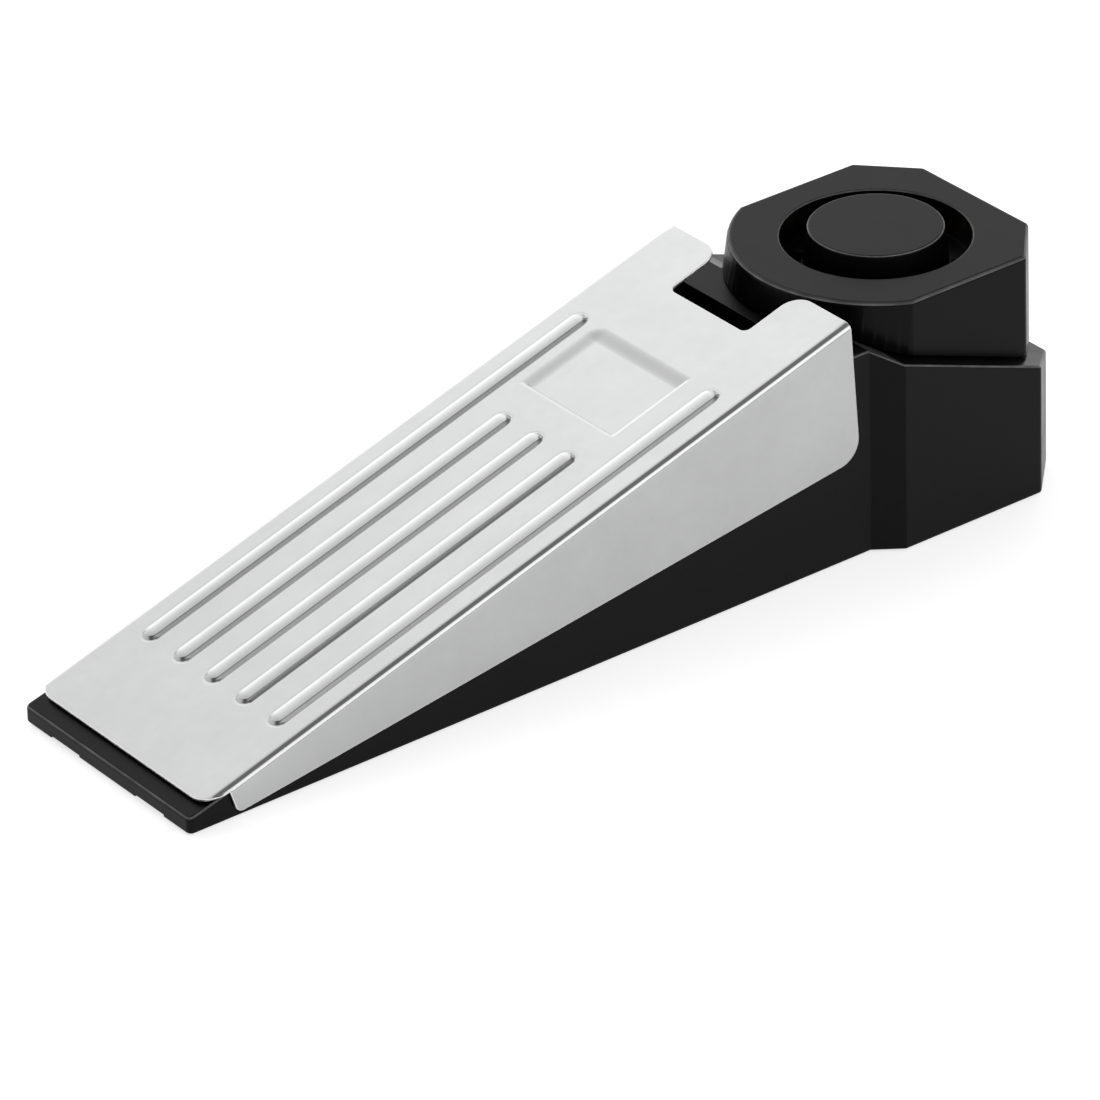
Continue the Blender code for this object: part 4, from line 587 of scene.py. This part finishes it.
def folded(x, girth, height):
    """The place in the row frame of a point of the blank, raised off the sheet's outer face by a height."""
    side = -1 if girth < 0 else 1
    reach = abs(girth)
    if reach <= FOLD_START:
        across = reach
        up = height
    elif reach <= FOLD_END:
        turn = (reach - FOLD_START) / BEND_RADIUS
        across = FOLD_START + (BEND_RADIUS + height) * math.sin(turn)
        up = (BEND_RADIUS + height) * math.cos(turn) - BEND_RADIUS
    else:
        across = PLATE_HALF_WIDTH + height
        up = FOLD_END - reach - BEND_RADIUS
    tilt = Matrix.Rotation(-PLATE_ANGLE, 3, "Y")
    return PLATE_FOOT + tilt @ Vector((x, side * across, up))


def pressed(place, depth):
    """The place in the row frame of a point of the blank, at a depth under the pressed sheet's outer face."""
    return folded(place.x, place.y, relief(place.x, place.y) - depth)


def spaced(start, end, step):
    """Places from start to end at even steps of about a length."""
    parts = max(1, round((end - start) / step))
    return [start + (end - start) * part / parts for part in range(parts + 1)]


def grid_lines(groups, low, high):
    """Grid lines from low to high: coarse ones, and in place of them the fine ones of each group."""
    lines = set(spaced(low, high, COARSE_STEP))
    for group in groups:
        first = min(group) - GUARD_STEP
        last = max(group) + GUARD_STEP
        kept = {line for line in lines if not first - GUARD_STEP < line < last + GUARD_STEP}
        lines = kept | set(group) | {first, last}
    ordered = sorted(lines)
    result = [ordered[0]]
    for line in ordered[1:]:
        if line - result[-1] > GRID_CLOSEST:
            result.append(line)
    return result


def rib_lines(place):
    """Fine lines on both sides of the middle of a rib or of its round end."""
    return [place + side * MM * reach for reach in RIB_REACH for side in (-1, 1)]


def wall_lines(edge, run, shares):
    """Fine lines over a wall of the panel, from its foot. A run towards lower places is negative."""
    return [edge + run * share for share in shares]


def columns_of_grid():
    """Lines across the plate, at places along it."""
    groups = [
        rib_lines(RIB_START + RIB_END_RADIUS),
        rib_lines(SHORT_RIB_END - RIB_END_RADIUS),
        rib_lines(LONG_RIB_END - RIB_END_RADIUS),
        spaced(PLATE_FRONT, FLANGE_START + CORNER_GRID_REACH, CORNER_GRID_STEP),
        wall_lines(PANEL_START, -PANEL_SHORT_RUN, STEEP_REACH),
        wall_lines(PANEL_END, PANEL_LONG_RUN, GENTLE_REACH),
    ]
    return grid_lines(groups, PLATE_FRONT, PLATE_REAR)


def rows_of_grid():
    """Lines along the plate, at places over its girth."""
    bend = [FOLD_START + BEND_GIRTH * step / BEND_STEPS for step in range(BEND_STEPS + 1)]
    groups = [rib_lines(place) for _, place in ribs()]
    groups += [
        wall_lines(-PANEL_HALF_WIDTH, -PANEL_SHORT_RUN, STEEP_REACH),
        wall_lines(PANEL_HALF_WIDTH, PANEL_LONG_RUN, GENTLE_REACH),
        bend,
        [-place for place in bend],
    ]
    deepest = girth_at_depth(FLANGE_REAR_DEPTH)
    return grid_lines(groups, -deepest, deepest)


def meshed_blank(edge, border):
    """Points and triangles of the blank inside its border, whose points come first."""
    guard = offset(edge, SHEET_EDGE * GUARD_EDGES)
    columns = columns_of_grid()
    points = list(border)
    for row in rows_of_grid():
        points += [Vector((x, row)) for x in columns if inside(guard, x, row)]
    count = len(border)
    sides = [(index, (index + 1) % count) for index in range(count)]
    points, _, triangles, *_ = delaunay_2d_cdt(points, sides, [], FILL_INSIDE, POINT_TOLERANCE)
    return points, triangles


def make_plate(finish, edge_highlight):
    """The plate as one closed sheet with pressed ribs and panel, folded flanges and rounded cut edges, which
    carry a painted highlight.
    """
    edge = divided(blank_outline(), BORDER_STEP)
    border = offset(edge, SHEET_EDGE)
    points, triangles = meshed_blank(edge, border)
    mesh = bmesh.new()
    outer = [mesh.verts.new(pressed(point, 0)) for point in points]
    inner = [mesh.verts.new(pressed(point, SHEET)) for point in points]
    for a, b, c in triangles:
        mesh.faces.new((outer[a], outer[b], outer[c]))
        mesh.faces.new((inner[c], inner[b], inner[a]))
    close_rim(mesh, (outer, inner), edge, border)
    return finished_mesh(mesh, "plate_sheet", [finish, edge_highlight], PLATE_SMOOTH_ANGLE)


def close_rim(mesh, layers, edge, border):
    """Closes the sheet's cut edge with a rounded strip between its outer and inner faces."""
    count = len(edge)
    eased = SHEET_EDGE * (1 - ROUND_SHARE)
    steps = [
        (ROUND_SHARE, eased),
        (1, SHEET_EDGE),
        (1, SHEET - SHEET_EDGE),
        (ROUND_SHARE, SHEET - eased),
    ]
    rings = [layers[0][:count]]
    for share, depth in steps:
        places = [here.lerp(out, share) for here, out in zip(border, edge)]
        rings.append([mesh.verts.new(pressed(place, depth)) for place in places])
    rings.append(layers[1][:count])
    for upper, lower in zip(rings, rings[1:]):
        for index in range(count):
            after = (index + 1) % count
            side = mesh.faces.new((upper[after], upper[index], lower[index], lower[after]))
            # The cut edge takes the lightened steel, a painted highlight
            side.material_index = CUT_EDGE_INDEX


# The hinge lugs

def lug_outline(axis):
    """Outline of a lug around its axis: round below, and cut along the plate's slope above."""
    outline = []
    for x, z in circle(LUG_RADIUS, LUG_STEPS):
        if z > 0:
            slope_height = (axis.x + x - NOSE_X) * PLATE_RISE / PLATE_RUN
            z = PLATE_FOOT.z + slope_height - SHEET * LUG_ROOF_SHARE - axis.z
        outline.append((x, z))
    return outline


def add_lug(mesh, axis, place):
    """A lug with its bore, as thick as the sheet, at a place across the plate."""
    rings = []
    for side in (-1, 1):
        y = place + side * SHEET / 2
        for ring in (lug_outline(axis), circle(LUG_BORE, LUG_STEPS)):
            rings.append([mesh.verts.new(axis + Vector((x, y, z))) for x, z in ring])
    near_out, near_in, far_out, far_in = rings
    for first, second in ((near_out, near_in), (far_in, far_out), (far_out, near_out), (near_in, far_in)):
        for index in range(LUG_STEPS):
            after = (index + 1) % LUG_STEPS
            mesh.faces.new((first[index], first[after], second[after], second[index]))


def make_lugs(finish):
    """Three lugs that hang from the plate's underside and turn on the hinge pin."""
    mesh = bmesh.new()
    axis = Vector((NOSE_X + HINGE_PLACE[0], 0, UNDERSIDE_Z + HINGE_PLACE[1]))
    for place in LUG_PLACES:
        add_lug(mesh, axis, place)
    return finished_mesh(mesh, "plate_lugs", [finish])


# The springs

def coil_point(turns, side):
    """The middle of the wire after some turns. The end turns lie almost flat."""
    free_turns = SPRING_TURNS - 2 * SPRING_END_TURNS
    end_rise = WIRE_RADIUS * SPRING_END_RISE_SHARE
    free_rise = SPRING_HEIGHT - 2 * WIRE_RADIUS - 2 * end_rise
    turned_free = min(max(turns - SPRING_END_TURNS, 0), free_turns)
    turned_at_ends = min(turns, SPRING_END_TURNS) + max(turns - SPRING_TURNS + SPRING_END_TURNS, 0)
    height = WIRE_RADIUS + end_rise * turned_at_ends / SPRING_END_TURNS
    height += free_rise * turned_free / free_turns
    angle = math.tau * turns * side
    x = NOSE_X + SPRING_X + SPRING_RADIUS * math.cos(angle)
    y = side * SPRING_OFFSET + SPRING_RADIUS * math.sin(angle)
    return Vector((x, y, UNDERSIDE_Z + SPRING_FOOT + height))


def make_spring(name, side, finish):
    """A wound spring with closed end turns and flat cut ends."""
    mesh = bmesh.new()
    centre = Vector((NOSE_X + SPRING_X, side * SPRING_OFFSET, 0))
    rings = []
    for step in range(SPRING_TURNS * SPRING_STEPS + 1):
        place = coil_point(step / SPRING_STEPS, side)
        outward = ((place - centre) * Vector((1, 1, 0))).normalized()
        ring = [place + outward * out + Vector((0, 0, up)) for out, up in circle(WIRE_RADIUS, WIRE_SIDES)]
        rings.append([mesh.verts.new(point) for point in ring])
    for lower, upper in zip(rings, rings[1:]):
        for corner in range(WIRE_SIDES):
            after = (corner + 1) % WIRE_SIDES
            mesh.faces.new((lower[corner], lower[after], upper[after], upper[corner]))
    mesh.faces.new(reversed(rings[0]))
    mesh.faces.new(rings[-1])
    return finished_mesh(mesh, name, [finish])


# Studio

def seen_by_eye(tree, seen, mirrored):
    """One strength for what the camera sees, and one for what it sees mirrored or refracted."""
    paths = tree.nodes.new("ShaderNodeLightPath").outputs
    bent = math_node(tree, "ADD", paths["Is Glossy Ray"], paths["Is Transmission Ray"], clamp=True)
    second_hand = math_node(tree, "MULTIPLY", bent, mirrored)
    first_hand = math_node(tree, "MULTIPLY", paths["Is Camera Ray"], seen)
    return math_node(tree, "ADD", first_hand, second_hand)


def make_paper():
    """The floor's material, which lets the camera look through from below."""
    material = bpy.data.materials.new("floor_paper")
    material.use_nodes = True
    tree = material.node_tree
    shader = tree.nodes["Principled BSDF"]
    shader.inputs["Base Color"].default_value = (*FLOOR_COLOUR, 1)
    shader.inputs["Roughness"].default_value = FLOOR_ROUGHNESS
    shader.inputs["Specular IOR Level"].default_value = 0
    shader.inputs["Emission Color"].default_value = WHITE
    glow = seen_by_eye(tree, FLOOR_GLOW, MIRRORED_GLOW)
    tree.links.new(glow, shader.inputs["Emission Strength"])
    mix = tree.nodes.new("ShaderNodeMixShader")
    from_below = tree.nodes.new("ShaderNodeNewGeometry").outputs["Backfacing"]
    clear = tree.nodes.new("ShaderNodeBsdfTransparent").outputs[0]
    for source, socket in zip((from_below, shader.outputs[0], clear), mix.inputs):
        tree.links.new(source, socket)
    tree.links.new(mix.outputs[0], tree.nodes["Material Output"].inputs["Surface"])
    return material


def make_floor():
    """A pale paper floor just under the grips."""
    data = bpy.data.meshes.new("floor")
    square = ((-1, -1), (1, -1), (1, 1), (-1, 1))
    corners = [(x * FLOOR_REACH, y * FLOOR_REACH, -FLOOR_GAP) for x, y in square]
    data.from_pydata(corners, [], [(0, 1, 2, 3)])
    data.materials.append(make_paper())
    floor = bpy.data.objects.new("floor", data)
    bpy.context.scene.collection.objects.link(floor)


def sky_curve(tree, value, stops):
    """A value turned into a brightness by a smooth curve through the stops."""
    low = stops[0][0]
    high = stops[-1][0]
    shares = [((place - low) / (high - low), brightness / SKY_PEAK) for place, brightness in stops]
    spread = spread_node(tree, value, (low, high))
    found = ramp_node(tree, spread, greys(shares), interpolation="EASE")
    return math_node(tree, "MULTIPLY", found, SKY_PEAK)


def sky_brightness(tree):
    """The sky's light by direction. What lies below the horizon mirrors what lies above it."""
    split = tree.nodes.new("ShaderNodeSeparateXYZ")
    tree.links.new(tree.nodes.new("ShaderNodeTexCoord").outputs["Generated"], split.inputs[0])
    height = math_node(tree, "ABSOLUTE", split.outputs["Z"])
    turn = math_node(tree, "ARCTAN2", height, split.outputs["Y"])
    arch = sky_curve(tree, math_node(tree, "DEGREES", turn), SKY_ARCH)
    sides = sky_curve(tree, split.outputs["X"], SKY_SIDES)
    return math_node(tree, "MULTIPLY", arch, sides)


def make_world():
    """A studio that is light behind, with a soft box low in front and a dim strip between them.

    The camera itself sees plain white in place of it.
    """
    world = bpy.data.worlds.new("studio")
    bpy.context.scene.world = world
    world.use_nodes = True
    tree = world.node_tree
    paths = tree.nodes.new("ShaderNodeLightPath").outputs
    direct = math_node(tree, "ADD", paths["Is Camera Ray"], paths["Is Transmission Ray"], clamp=True)
    backdrop = tree.nodes.new("ShaderNodeMix")
    tree.links.new(direct, backdrop.inputs["Factor"])
    tree.links.new(sky_brightness(tree), backdrop.inputs["A"])
    backdrop.inputs["B"].default_value = 1.0
    background = tree.nodes["Background"]
    background.inputs["Color"].default_value = WHITE
    tree.links.new(backdrop.outputs["Result"], background.inputs["Strength"])


def make_camera():
    azimuth_cos = math.cos(CAMERA_AZIMUTH)
    azimuth_sin = math.sin(CAMERA_AZIMUTH)
    level = math.cos(CAMERA_ELEVATION)
    back = Vector((azimuth_sin * level, -azimuth_cos * level, math.sin(CAMERA_ELEVATION)))
    right = Vector((azimuth_cos, azimuth_sin, 0))
    up = back.cross(right)
    rolled_right = math.cos(CAMERA_ROLL) * right + math.sin(CAMERA_ROLL) * up
    rolled_up = math.cos(CAMERA_ROLL) * up - math.sin(CAMERA_ROLL) * right
    data = bpy.data.cameras.new("camera")
    data.sensor_width = CAMERA_SENSOR
    data.lens = CAMERA_LENS
    data.clip_start = CAMERA_CLIP_START
    camera = bpy.data.objects.new("camera", data)
    bpy.context.scene.collection.objects.link(camera)
    placed = Matrix((rolled_right, rolled_up, back)).transposed().to_4x4()
    placed.translation = Vector(CAMERA_TARGET) + back * CAMERA_DISTANCE
    camera.matrix_world = placed
    bpy.context.scene.camera = camera


def add_plate(finishes):
    """The finer sheet, which stands for the CAD plate, and its lugs."""
    plate = make_plate(finishes["satin_steel"], finishes["cut_edge_highlight"])
    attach(plate, "plate")
    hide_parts("pressure_plate")
    lugs = make_lugs(finishes["satin_steel"])
    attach(lugs, "plate")


def add_springs(finishes):
    """The two wound springs, each in place of its CAD node. The real ones flatten as the plate goes down."""
    for name, side in (("near", -1), ("far", 1)):
        spring = make_spring(f"coil_{name}", side, finishes["spring_steel"])
        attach(spring, "base")
        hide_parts(f"return_spring_{name}")
        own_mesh(spring)


def main():
    make_camera()
    finishes = make_finishes()
    dress_nodes(finishes)
    add_plate(finishes)
    add_springs(finishes)
    make_floor()
    make_world()
    bpy.context.scene.view_settings.view_transform = "Standard"


main()
